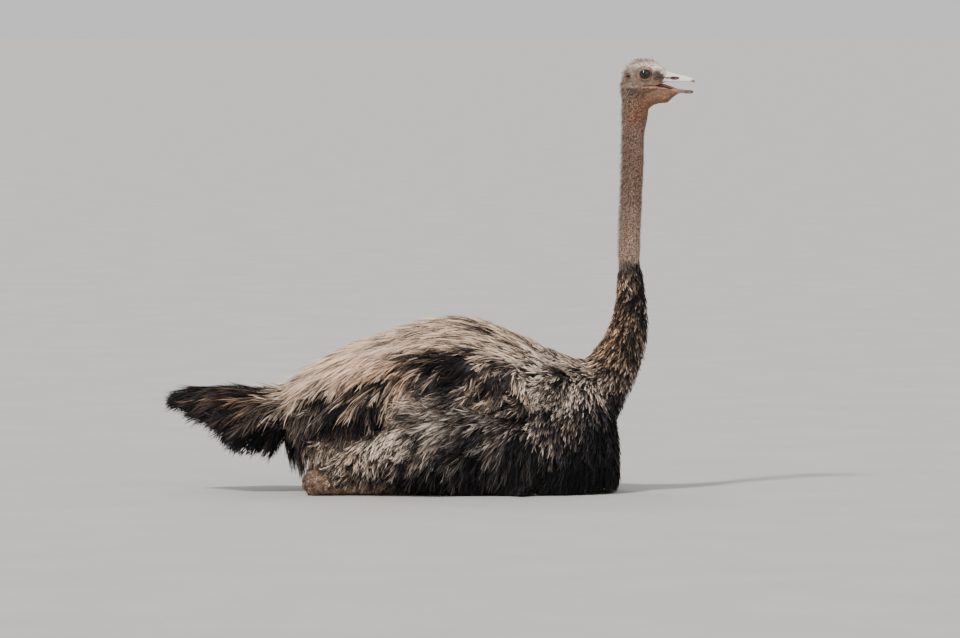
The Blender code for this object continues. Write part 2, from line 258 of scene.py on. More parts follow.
def remeshed(mesh, voxel, name, cutter=None):
    # one closed surface round overlapping solids, less a cutter
    piece = addObject("work", mesh)
    tools = [addObject("tool", cutter)] if cutter else []
    for tool in [None] + tools:
        if tool:
            boolean = piece.modifiers.new("cut", "BOOLEAN")
            boolean.operation, boolean.solver, boolean.object = "DIFFERENCE", "MANIFOLD", tool
        remesh = piece.modifiers.new("remesh", "REMESH")
        remesh.mode, remesh.voxel_size = "VOXEL", voxel
        remesh.use_smooth_shade = True
    result = evaluatedCopy(piece, name)
    for spent in [piece] + tools:
        bpy.data.objects.remove(spent)
    return result


def feed(tree, socket, value):
    # a link from another socket, or a plain value
    if isinstance(value, bpy.types.NodeSocket):
        tree.links.new(value, socket)
    else:
        socket.default_value = value


def socketOf(node, key):
    return next(s for s in node.inputs if s.enabled and s.name.replace(" ", "") == key)


def addNode(tree, kind, settings=None, **inputs):
    # inputs are values or sockets, by name with spaces left out, or by index as i0, i1
    node = tree.nodes.new(kind if "Node" in kind else "ShaderNode" + kind)
    for key, value in (settings or {}).items():
        setattr(node, key, value)
    for key, value in inputs.items():
        byIndex = key[0] == "i" and key[1:].isdigit()
        feed(tree, node.inputs[int(key[1:])] if byIndex else socketOf(node, key), value)
    return node


def maths(tree, operation, first, second, clamp=False):
    settings = {"operation": operation, "use_clamp": clamp}
    return addNode(tree, "Math", settings, i0=first, i1=second).outputs[0]


def times(tree, first, second):
    return maths(tree, "MULTIPLY", first, second)


def plus(tree, first, second, clamp=False):
    return maths(tree, "ADD", first, second, clamp)


def aboutZero(tree, value):
    return maths(tree, "SUBTRACT", value, 0.5)


def blendColours(tree, share, first, second, mode="MIX"):
    settings = {"data_type": "RGBA", "blend_type": mode}
    return addNode(tree, "Mix", settings, i0=share, i6=first, i7=second).outputs[2]


def colourRamp(tree, share, stops):
    node = addNode(tree, "ValToRGB", Fac=share)
    ramp = node.color_ramp
    while len(ramp.elements) < len(stops):
        ramp.elements.new(0.5)
    for element, (place, colour) in zip(ramp.elements, stops):
        element.position, element.color = place, (*colour, 1)
    return node.outputs[0]


def softBand(tree, value, low, high):
    settings = {"interpolation_type": "SMOOTHSTEP"}
    return addNode(tree, "MapRange", settings, i0=value, i1=low, i2=high).outputs[0]


def markedOn(tree, colour, marks):
    # tones laid on a colour in turn; each has its soft bands, which all have to meet, and its strength
    for bands, strength, tone in marks:
        mask = strength
        for band in bands:
            mask = times(tree, softBand(tree, *band), mask)
        colour = blendColours(tree, mask, colour, (*tone, 1))
    return colour


def noise(tree, place, scale, detail, **more):
    return addNode(tree, "TexNoise", Vector=place, Scale=scale, Detail=detail, **more).outputs["Fac"]


def stretched(tree, place, scale):
    return addNode(tree, "VectorMath", {"operation": "MULTIPLY"}, i0=place, i1=scale).outputs[0]


def farFrom(tree, place, centre, scale):
    # distance in side view from a centre, with a scale of its own along x and z
    away = addNode(tree, "VectorMath", {"operation": "SUBTRACT"}, i0=place, i1=(centre[0], 0, centre[1]))
    spot = stretched(tree, away.outputs[0], (scale[0], 0, scale[1]))
    return addNode(tree, "VectorMath", {"operation": "LENGTH"}, i0=spot).outputs["Value"]


def shaderGroup(name, inputs, outputs):
    # inputs and outputs are {name: (kind, default)}; returns the tree with its two end nodes
    group = bpy.data.node_groups.new(name, "ShaderNodeTree")
    for way, sockets in (("INPUT", inputs), ("OUTPUT", outputs)):
        for label, (kind, default) in sockets.items():
            socket = group.interface.new_socket(label, in_out=way, socket_type="NodeSocket" + kind)
            if default is not None:
                socket.default_value = default
    return group, group.nodes.new("NodeGroupInput"), group.nodes.new("NodeGroupOutput")


def useGroup(tree, group, **inputs):
    node = tree.nodes.new("ShaderNodeGroup")
    node.node_tree = group
    for key, value in inputs.items():
        feed(tree, socketOf(node, key), value)
    return node.outputs


def plainMaterial(name, roughness, **values):
    material = bpy.data.materials.new(name)
    material.use_nodes = True
    shader = material.node_tree.nodes["Principled BSDF"]
    for key, value in {"Roughness": roughness, **values}.items():
        socketOf(shader, key).default_value = value
    return material, material.node_tree, shader


def objectPlace(tree):
    return addNode(tree, "TexCoord").outputs["Object"]


def splitPlace(tree, place):
    split = addNode(tree, "SeparateXYZ", Vector=place).outputs
    return split["X"], split["Z"]


def namedValue(tree, name):
    return addNode(tree, "Attribute", {"attribute_name": name}).outputs["Fac"]


# camera, floor and light
view = {"distance": 18.0, "aim": (0.136, 0.0, 0.481), "height": 1.334, "lens": 243.0}
stage = {"floor": (0.455, 0.44, 0.42), "floorSize": 600.0, "world": (0.985, 0.99, 1.0), "worldLight": 0.76}
lamps = {
    "keyLight": {"from": (-3.4, -4.4, 8.0), "angle": 6.0, "power": 3.3, "colour": (1.0, 0.965, 0.91)},
    "fillLight": {"from": (4.6, -6.0, 3.0), "angle": 40.0, "power": 0.45, "colour": (0.95, 0.97, 1.0)},
    "rimLight": {"from": (-4.0, 6.0, 5.0), "angle": 30.0, "power": 0.55, "colour": (1.0, 0.98, 0.95)},
}


def aimed(thing, start, target):
    thing.location = start
    thing.rotation_euler = (Vector(target) - Vector(start)).to_track_quat("-Z", "Y").to_euler()


def makeStage():
    camera = bpy.data.objects.new("camera", bpy.data.cameras.new("camera"))
    scene.collection.objects.link(camera)
    camera.data.sensor_width, camera.data.lens = 36, view["lens"]
    camera.data.clip_end = 500
    aimed(camera, (view["aim"][0], -view["distance"], view["height"]), view["aim"])
    scene.camera = camera
    half = stage["floorSize"] / 2
    corners = [(-half, -half, 0), (half, -half, 0), (half, half, 0), (-half, half, 0)]
    floor = addObject("floor", meshFrom("floor", corners, [(0, 1, 2, 3)]))
    material, tree, shader = plainMaterial("paleFloor", 0.9)
    dim, bright = ([c * share for c in stage["floor"]] for share in (0.95, 1.04))
    colour = colourRamp(tree, noise(tree, objectPlace(tree), 3.0, 6.0), ((0.3, dim), (0.7, bright)))
    tree.links.new(colour, shader.inputs["Base Color"])
    floor.data.materials.append(material)
    world = bpy.data.worlds.new("studio")
    scene.world = world
    world.use_nodes = True
    background = world.node_tree.nodes["Background"]
    background.inputs[0].default_value = (*stage["world"], 1)
    background.inputs[1].default_value = stage["worldLight"]
    for name, lamp in lamps.items():
        light = bpy.data.lights.new(name, "SUN")
        light.angle, light.energy, light.color = math.radians(lamp["angle"]), lamp["power"], lamp["colour"]
        holder = bpy.data.objects.new(name, light)
        scene.collection.objects.link(holder)
        aimed(holder, lamp["from"], (0.1, 0, 0.35))


makeStage()
print("stage: camera, floor and three lamps")


# the body's forms, inside the coat: x, top, bottom, half width
fleshRows = {
    "trunk": (
        (-0.4, 0.255, 0.195, 0.035), (-0.37, 0.29, 0.155, 0.075), (-0.3, 0.335, 0.105, 0.112),
        (-0.24, 0.368, 0.062, 0.142), (-0.14, 0.41, 0.018, 0.17), (-0.03, 0.446, 0.009, 0.186),
        (0.08, 0.463, 0.007, 0.193), (0.19, 0.442, 0.007, 0.191), (0.3, 0.392, 0.007, 0.18),
        (0.4, 0.358, 0.007, 0.16), (0.458, 0.336, 0.009, 0.134), (0.49, 0.262, 0.013, 0.102),
        (0.509, 0.13, 0.022, 0.058),
    ),
    "tail": (
        (-0.33, 0.262, 0.205, 0.045), (-0.43, 0.27, 0.17, 0.062), (-0.5, 0.272, 0.16, 0.072),
        (-0.56, 0.278, 0.18, 0.068), (-0.61, 0.277, 0.206, 0.046), (-0.65, 0.273, 0.232, 0.026),
        (-0.69, 0.268, 0.248, 0.012), (-0.705, 0.265, 0.253, 0.007),
    ),
    "skull": (
        (0.53, 1.137, 1.1, 0.0095), (0.537, 1.1615, 1.075, 0.019), (0.5495, 1.1805, 1.064, 0.0252),
        (0.568, 1.1925, 1.066, 0.0298), (0.592, 1.1965, 1.082, 0.0322), (0.618, 1.1945, 1.103, 0.03),
        (0.638, 1.1862, 1.124, 0.0256), (0.65, 1.1778, 1.1375, 0.0228), (0.66, 1.165, 1.1412, 0.016),
    ),
    "jaw": (
        (0.57, 1.108, 1.064, 0.014), (0.586, 1.124, 1.058, 0.0236), (0.6, 1.1285, 1.0625, 0.0266),
        (0.613, 1.129, 1.0725, 0.0272), (0.626, 1.1288, 1.079, 0.0266), (0.64, 1.1282, 1.0815, 0.025),
        (0.656, 1.1262, 1.0832, 0.0224), (0.674, 1.1218, 1.0992, 0.018), (0.686, 1.1188, 1.1065, 0.015),
    ),
}
# forms along a bent line: x, y, z, half side, half depth
fleshLines = {
    "neck": (
        (0.4, 0, 0.215, 0.098, 0.075), (0.465, 0, 0.29, 0.088, 0.07), (0.515, 0, 0.365, 0.068, 0.057),
        (0.545, 0, 0.44, 0.049, 0.046), (0.5545, 0, 0.506, 0.0395, 0.0385),
        (0.5545, 0, 0.562, 0.035, 0.0345), (0.553, 0, 0.603, 0.03, 0.031),
        (0.5515, 0, 0.635, 0.027, 0.0285), (0.5525, 0, 0.7, 0.0262, 0.0275),
        (0.5567, 0, 0.812, 0.0258, 0.0276), (0.561, 0, 0.923, 0.0262, 0.0288),
        (0.5627, 0, 1.006, 0.0268, 0.0306), (0.5662, 0, 1.048, 0.0276, 0.035),
        (0.569, 0, 1.09, 0.0266, 0.037),
    ),
    "thigh": (
        (0.18, 0.145, 0.17, 0.045, 0.045), (0.08, 0.152, 0.158, 0.066, 0.066),
        (-0.02, 0.16, 0.148, 0.066, 0.068), (-0.11, 0.16, 0.126, 0.052, 0.056),
        (-0.19, 0.152, 0.092, 0.038, 0.041), (-0.262, 0.142, 0.06, 0.027, 0.03),
        (-0.3, 0.14, 0.045, 0.022, 0.024),
    ),
}
# the folded wing: x, middle height, half height, distance out, half thickness
wingRows = (
    (-0.29, 0.212, 0.018, 0.12, 0.012), (-0.24, 0.23, 0.045, 0.135, 0.028),
    (-0.15, 0.262, 0.072, 0.156, 0.04), (-0.03, 0.29, 0.086, 0.176, 0.042),
    (0.11, 0.306, 0.086, 0.183, 0.04), (0.24, 0.305, 0.074, 0.18, 0.034), (0.31, 0.3, 0.06, 0.164, 0.028),
    (0.36, 0.297, 0.044, 0.138, 0.02), (0.398, 0.294, 0.02, 0.108, 0.01),
)
skinSizes = {
    "bodyVoxel": 0.007, "headVoxel": 0.00125, "neckAround": 84, "neckRings": 210,
    "bodyTop": 0.655, "neckFrom": 0.658, "neckTo": 1.03, "headFrom": 1.033, "wingLean": 0.22,
}
# the mouth's wedge: x, top, bottom
mouthRows = (
    (0.599, 1.13, 1.1288), (0.612, 1.1302, 1.1286), (0.622, 1.1306, 1.1283), (0.63, 1.1322, 1.1276),
    (0.641, 1.1362, 1.1268), (0.652, 1.1396, 1.1258), (0.664, 1.1406, 1.124), (0.69, 1.1415, 1.119),
)
eyeSizes = {
    "centre": (0.5925, 0.02, 1.1618), "radius": 0.0195, "bulge": 0.0008,
    "openLength": 0.014, "openHeight": 0.0116,
}
earPlace = (0.5477, 0.0255, 1.156)
# how far each fold of the head stands out or in
foldDepths = {
    "lid": 0.0011, "opening": 0.004, "lidRoll": 0.0005, "innerGroove": 0.0007, "outerGroove": 0.0006,
    "brow": 0.0016, "lore": 0.0016, "cheek": 0.0014, "earPit": 0.0045, "earRim": 0.0009, "lips": 0.001,
    "mouthCorner": 0.0009, "throat": 0.0004, "pebbles": 0.00022, "wrinkles": 0.0003,
}


# folds and locks of the plumage: a line of x and z along the lie of the plumes, then its width,
# how far it stands out, tone, warmth and pull on the lay
# where a stroke sinks it also lowers the tone, which is painted shade in the plumage's hollows; one pale
# stroke is a painted highlight on the wing's ridge
coatStrokes = (
    (((0.3, 0.372), (0.2, 0.392), (0.1, 0.398), (0.02, 0.405)), 0.016, 0.01, 0.05, 0.1, 0.6),
    # painted highlight along the wing's ridge
    (((0.2, 0.362), (0.15, 0.368), (0.1, 0.376)), 0.012, 0.012, 0.2, 0.0, 0.5),
    (((0.152, 0.362), (0.172, 0.32), (0.188, 0.282)), 0.013, 0.012, 0.16, 0.5, 1.6),
    (((0.223, 0.34), (0.25, 0.292), (0.268, 0.255)), 0.014, 0.012, 0.04, 0.5, 1.6),
    (((0.1, 0.37), (0.12, 0.335), (0.115, 0.3)), 0.012, 0.006, 0.1, 0.2, 1.0),
    # painted shadow under the mantle's lower edge
    (((0.12, 0.374), (0.06, 0.376), (-0.02, 0.37)), 0.013, -0.01, -0.46, 0.0, 0.6),
    (((-0.01, 0.362), (-0.042, 0.342), (-0.066, 0.312)), 0.017, 0.009, 0.22, 0.4, 1.8),
    # painted shade in a valley of the plumage
    (((-0.095, 0.305), (-0.112, 0.275), (-0.125, 0.245), (-0.13, 0.205)), 0.022, -0.016, -0.42, 0.0, 1.0),
    (((-0.02, 0.388), (-0.1, 0.352), (-0.158, 0.312), (-0.18, 0.285)), 0.018, 0.01, 0.16, 0.3, 1.4),
    # painted shade in the hollow under the wing's ridge
    (((0.04, 0.335), (0.1, 0.31), (0.14, 0.28), (0.205, 0.25)), 0.024, -0.022, -0.3, -0.2, 0.0),
    (((0.022, 0.266), (-0.03, 0.262), (-0.07, 0.254)), 0.018, 0.008, 0.18, 0.3, 1.4),
    (((0.2, 0.215), (0.1, 0.205), (0.0, 0.2), (-0.08, 0.19)), 0.018, 0.006, -0.02, 0.0, 1.0),
    # painted shade in the groove below the mantle's fringe at the rear
    (((-0.15, 0.285), (-0.205, 0.272), (-0.255, 0.25), (-0.315, 0.225), (-0.375, 0.19), (-0.44, 0.18)),
     0.022, -0.016, -0.42, -0.1, 0.0),
    (((-0.22, 0.24), (-0.255, 0.226), (-0.29, 0.205)), 0.012, 0.006, 0.14, 0.0, 0.8),
    (((-0.28, 0.25), (-0.31, 0.226), (-0.33, 0.195)), 0.012, 0.006, 0.16, 0.0, 0.8),
    # painted shade in a shallow hollow
    (((-0.145, 0.23), (-0.14, 0.2), (-0.142, 0.17)), 0.022, -0.008, -0.16, -0.2, 1.4),
    (((-0.16, 0.205), (-0.18, 0.165), (-0.195, 0.12)), 0.014, 0.006, 0.24, 0.2, 1.8),
    (((-0.21, 0.19), (-0.235, 0.15), (-0.26, 0.11)), 0.02, -0.004, 0.0, -0.1, 1.2),
    (((-0.42, 0.258), (-0.47, 0.256), (-0.52, 0.262)), 0.013, 0.0, 0.12, 0.7, 0.4),
    (((-0.44, 0.302), (-0.55, 0.306), (-0.67, 0.3)), 0.01, 0.003, 0.18, -0.2, 0.6),
    (((-0.37, 0.235), (-0.405, 0.175), (-0.435, 0.11)), 0.026, 0.006, 0.04, 0.1, 1.2),
    (((0.44, 0.3), (0.41, 0.24), (0.37, 0.2)), 0.02, 0.005, 0.1, 0.1, 0.6),
    (((0.47, 0.34), (0.38, 0.336), (0.27, 0.348)), 0.018, 0.004, 0.08, 0.0, 1.6),
    # painted shade in a shallow hollow
    (((0.33, 0.215), (0.3, 0.19), (0.25, 0.18)), 0.02, -0.005, -0.1, 0.0, 0.4),
)


def strokesAt(x, z):
    # what the strokes add at side-view places: lay as a vector, relief, tone and warmth
    total = np.zeros((len(x), 5))
    place = np.column_stack([x, z])
    for line, width, relief, tone, warmth, pull in coatStrokes:
        knots = np.array(line)
        best = np.full(len(x), 9.0)
        way = np.zeros((len(x), 2))
        for first, second in zip(knots, knots[1:]):
            span = second - first
            share = np.clip(((place - first) @ span) / (span @ span), 0, 1)
            gap = np.linalg.norm(place - first - share[:, None] * span, axis=1)
            nearer = gap < best
            best = np.where(nearer, gap, best)
            way[nearer] = unit(span)
        weight = np.exp(-((best / width) ** 2))[:, None]
        total += weight * np.column_stack([way * pull, np.tile((relief, tone, warmth), (len(x), 1))])
    return total


def wingForm(side):
    rings = []
    for x, middle, halfHeight, out, half in flowing(wingRows, eased(wingRows[0][0], wingRows[-1][0], 40)):
        across, height = ovalRing(half, halfHeight, halfHeight, 40)
        y = side * (out + across - skinSizes["wingLean"] * height)
        rings.append(np.column_stack([np.full(40, x), y, middle + height]))
    return closedLoft(rings, "wing")


def mouthCutter():
    rings = []
    for x, top, bottom in flowing(mouthRows, np.linspace(mouthRows[0][0], mouthRows[-1][0], 24)):
        corners = ((0.05, top), (-0.05, top), (-0.05, bottom), (0.05, bottom))
        rings.append([(x, y, z) for y, z in corners])
    return closedLoft(rings, "mouth")


def sculptHead(points, normals):
    # lids, brow, lore, lips, ear openings and throat folds, as moves of the head's own points
    deep = foldDepths
    x, y, z = points.T
    side = np.sign(y)
    out = np.abs(y)
    ex, ey, ez = eyeSizes["centre"]
    dx, dz = x - ex, z - ez
    ball = ey + np.sqrt(np.maximum(eyeSizes["radius"] ** 2 - dx**2 - dz**2, 0))
    ring = np.hypot(dx / eyeSizes["openLength"], dz / eyeSizes["openHeight"])
    outer = out > 0.012
    wrap = 1 - smoothStep(1.2, 1.95, ring)
    newOut = out * (1 - wrap) + (ball + deep["lid"]) * wrap
    newOut = newOut - deep["opening"] * (1 - smoothStep(0.84, 1.02, ring))
    out = np.where(outer & (ring < 1.95), newOut, out)
    skinSide = outer & (ring > 1.0)
    grooves = -deep["innerGroove"] * hump(ring, 1.36, 0.07) - deep["outerGroove"] * hump(ring, 1.7, 0.08)
    grooves += deep["lidRoll"] * hump(ring, 1.18, 0.08)
    out = out + np.where(skinSide, grooves, 0)
    out = out + np.where(skinSide, deep["brow"] * hump(dz, 0.0175, 0.0045) * hump(dx, 0.002, 0.02), 0)
    out = out - np.where(outer, deep["lore"] * hump(x, 0.634, 0.01) * hump(z, 1.15, 0.0065), 0)
    out = out + np.where(outer, deep["cheek"] * hump(x, 0.58, 0.014) * hump(z, 1.118, 0.012), 0)
    earRing = np.hypot((x - earPlace[0]) / 0.0058, (z - earPlace[2]) / 0.0048)
    ear = -deep["earPit"] * (1 - smoothStep(0.45, 1.0, earRing)) + deep["earRim"] * hump(earRing, 1.3, 0.3)
    out = out + np.where(out > 0.01, ear, 0)
    slit = flowing(mouthRows, np.clip(x, mouthRows[0][0], mouthRows[-1][0]))
    inReach = smoothStep(0.594, 0.602, x) * (1 - smoothStep(0.655, 0.668, x))
    lips = hump(z, slit[:, 1] + 0.0014, 0.0013) + hump(z, slit[:, 2] - 0.0014, 0.0013)
    out = out + np.where(out > 0.014, deep["lips"] * lips * inReach, 0)
    corner = hump(np.hypot(x - 0.596, z - 1.129), 0.0045, 0.0016)
    out = out + np.where(out > 0.014, deep["mouthCorner"] * corner, 0)
    moved = np.column_stack([x, side * out, z])
    throat = smoothStep(0.575, 0.6, x) * (1 - smoothStep(1.095, 1.115, z)) * smoothStep(1.036, 1.06, z)
    waves = np.sin((z * 0.9 - x * 0.5) * 2 * np.pi / 0.0075 + 2.5 * ripple(points, 0.016, 3))
    moved = moved + normals * (throat * (deep["throat"] * waves))[:, None]
    grain = deep["pebbles"] * ripple(points, 0.0045, 4) + deep["wrinkles"] * ripple(points, 0.011, 6)
    return moved + normals * (grain * (ring > 1.05))[:, None]


def cutAt(mesh, height, keepAbove):
    # the part of a mesh above or below a height, with an open rim
    bm = bmesh.new()
    bm.from_mesh(mesh)
    bmesh.ops.bisect_plane(
        bm, geom=bm.verts[:] + bm.edges[:] + bm.faces[:], dist=1e-6, plane_co=(0, 0, height),
        plane_no=(0, 0, 1), clear_inner=keepAbove, clear_outer=not keepAbove,
    )
    return asMesh(bm, "cut")


def rimAt(bm, height):
    # the open rim at a height, in order round its middle
    found = (v for e in bm.edges if e.is_boundary for v in e.verts if abs(v.co.z - height) < 1e-4)
    rim = list(dict.fromkeys(found))  # in a fixed order, so that each run gives the same mesh
    middle = sum((v.co for v in rim), Vector()) / len(rim)
    turned = [(math.atan2(v.co.y - middle.y, v.co.x - middle.x), v) for v in rim]
    return sorted(turned, key=lambda pair: pair[0])


def zipRims(bm, lower, upper):
    # triangles between two rims that have unlike numbers of points
    i = j = 0
    while i < len(lower) or j < len(upper):
        a, b = lower[i % len(lower)][1], upper[j % len(upper)][1]
        nextLow = lower[i][0] if i < len(lower) else 9
        nextUp = upper[j][0] if j < len(upper) else 9
        if nextLow <= nextUp:
            bm.faces.new((a, lower[(i + 1) % len(lower)][1], b))
            i += 1
        else:
            bm.faces.new((a, upper[(j + 1) % len(upper)][1], b))
            j += 1


def makeSkin():
    rows, lines, sizes = fleshRows, fleshLines, skinSizes
    neck = bentLoft(lines["neck"], sizes["neckRings"], sizes["neckAround"], name="neck")
    forms = [uprightLoft(rows["trunk"], 70, 72, 4.0), uprightLoft(rows["tail"], 36, 36), neck]
    for _, side in sides:
        forms += [bentLoft(lines["thigh"], 40, 36, side), wingForm(side)]
    body = remeshed(joinedMesh(forms), sizes["bodyVoxel"], "body")
    points = pointsOf(body)
    points = relax(points, edgesOf(body), 8, smoothStep(0.56, 0.62, points[:, 2]) * 0.9)
    setPoints(body, points)
    facing = np.abs(normalsOf(body)[:, 1])
    relief = strokesAt(points[:, 0], points[:, 2])[:, 2] * smoothStep(0.15, 0.7, facing)
    points[:, 1] += np.sign(points[:, 1]) * relief * smoothStep(0.04, 0.08, np.abs(points[:, 1]))
    points[:, 2] = np.maximum(points[:, 2], 0.006)
    setPoints(body, points)
    print("skin: body", len(body.polygons))
    skull, jaw = uprightLoft(rows["skull"], 90, 80, 2.2), uprightLoft(rows["jaw"], 70, 60, 2.2)
    head = remeshed(joinedMesh([skull, jaw, neck]), sizes["headVoxel"], "head", mouthCutter())
    head = cutAt(head, 1.0, True)
    points = pointsOf(head)
    mouth = smoothStep(0.596, 0.604, points[:, 0]) * hump(points[:, 2], 1.131, 0.01)
    points = relax(points, edgesOf(head), 24, mouth * 0.85)
    setPoints(head, points)
    setPoints(head, sculptHead(points, normalsOf(head)))
    print("skin: head", len(head.polygons))
    bm = bmesh.new()
    bm.from_mesh(cutAt(body, sizes["bodyTop"], False))
    bm.from_mesh(cutAt(cutAt(neck, sizes["neckFrom"], True), sizes["neckTo"], False))
    bm.from_mesh(cutAt(head, sizes["headFrom"], True))
    for low, high in (("bodyTop", "neckFrom"), ("neckTo", "headFrom")):
        zipRims(bm, rimAt(bm, sizes[low]), rimAt(bm, sizes[high]))
    bmesh.ops.triangulate(bm, faces=bm.faces)
    bmesh.ops.recalc_face_normals(bm, faces=bm.faces)
    openEdges = sum(1 for e in bm.edges if len(e.link_faces) != 2)
    mesh = asMesh(bm, "skin")
    mesh.shade_smooth()
    points = pointsOf(mesh)
    bare = smoothStep(0.6, 0.66, points[:, 2]) * (1 - smoothStep(1.04, 1.08, points[:, 2]))
    folds = 0.0006 * ripple(points * (1, 1, 0.5), 0.03, 7) + 0.0005 * ripple(points * (1, 1, 2.4), 0.012, 8)
    setPoints(mesh, points + normalsOf(mesh) * (bare * folds)[:, None])
    print("skin:", len(mesh.polygons), "triangles,", openEdges, "open edges")
    return addObject("skin", mesh)


skin = makeSkin()


# the bird's own middle line, x and z, along which all that grows on it is unwrapped
middleLine = (
    (-0.7, 0.25), (-0.56, 0.235), (-0.42, 0.225), (-0.25, 0.215), (0.0, 0.215), (0.25, 0.205),
    (0.38, 0.215), (0.47, 0.28), (0.525, 0.365), (0.55, 0.45), (0.554, 0.56), (0.552, 0.7),
    (0.561, 0.923), (0.566, 1.06), (0.59, 1.13), (0.66, 1.145), (0.76, 1.15),
)


def unwrapPlaces(points):
    # distance along the middle line and the turn about it, each from 0 to 1 over these points
    knots = np.array(middleLine)
    marks = lengthsAlong(knots)
    fine = np.linspace(0, marks[-1], 260)
    line = np.column_stack([np.interp(fine, marks, knots[:, 0]), np.interp(fine, marks, knots[:, 1])])
    ahead = unit(np.gradient(line, axis=0))
    gaps = np.linalg.norm(points[:, None, (0, 2)] - line[None], axis=2)
    near = np.argmin(gaps, axis=1)
    rise = np.column_stack([-ahead[near][:, 1], ahead[near][:, 0]])
    height = np.sum((points[:, (0, 2)] - line[near]) * rise, axis=1)
    turn = np.arctan2(points[:, 1], height)
    places = np.column_stack([turn, fine[near]])
    low, high = places.min(axis=0), places.max(axis=0)
    return 0.01 + 0.975 * (places - low) / np.maximum(high - low, 1e-6)


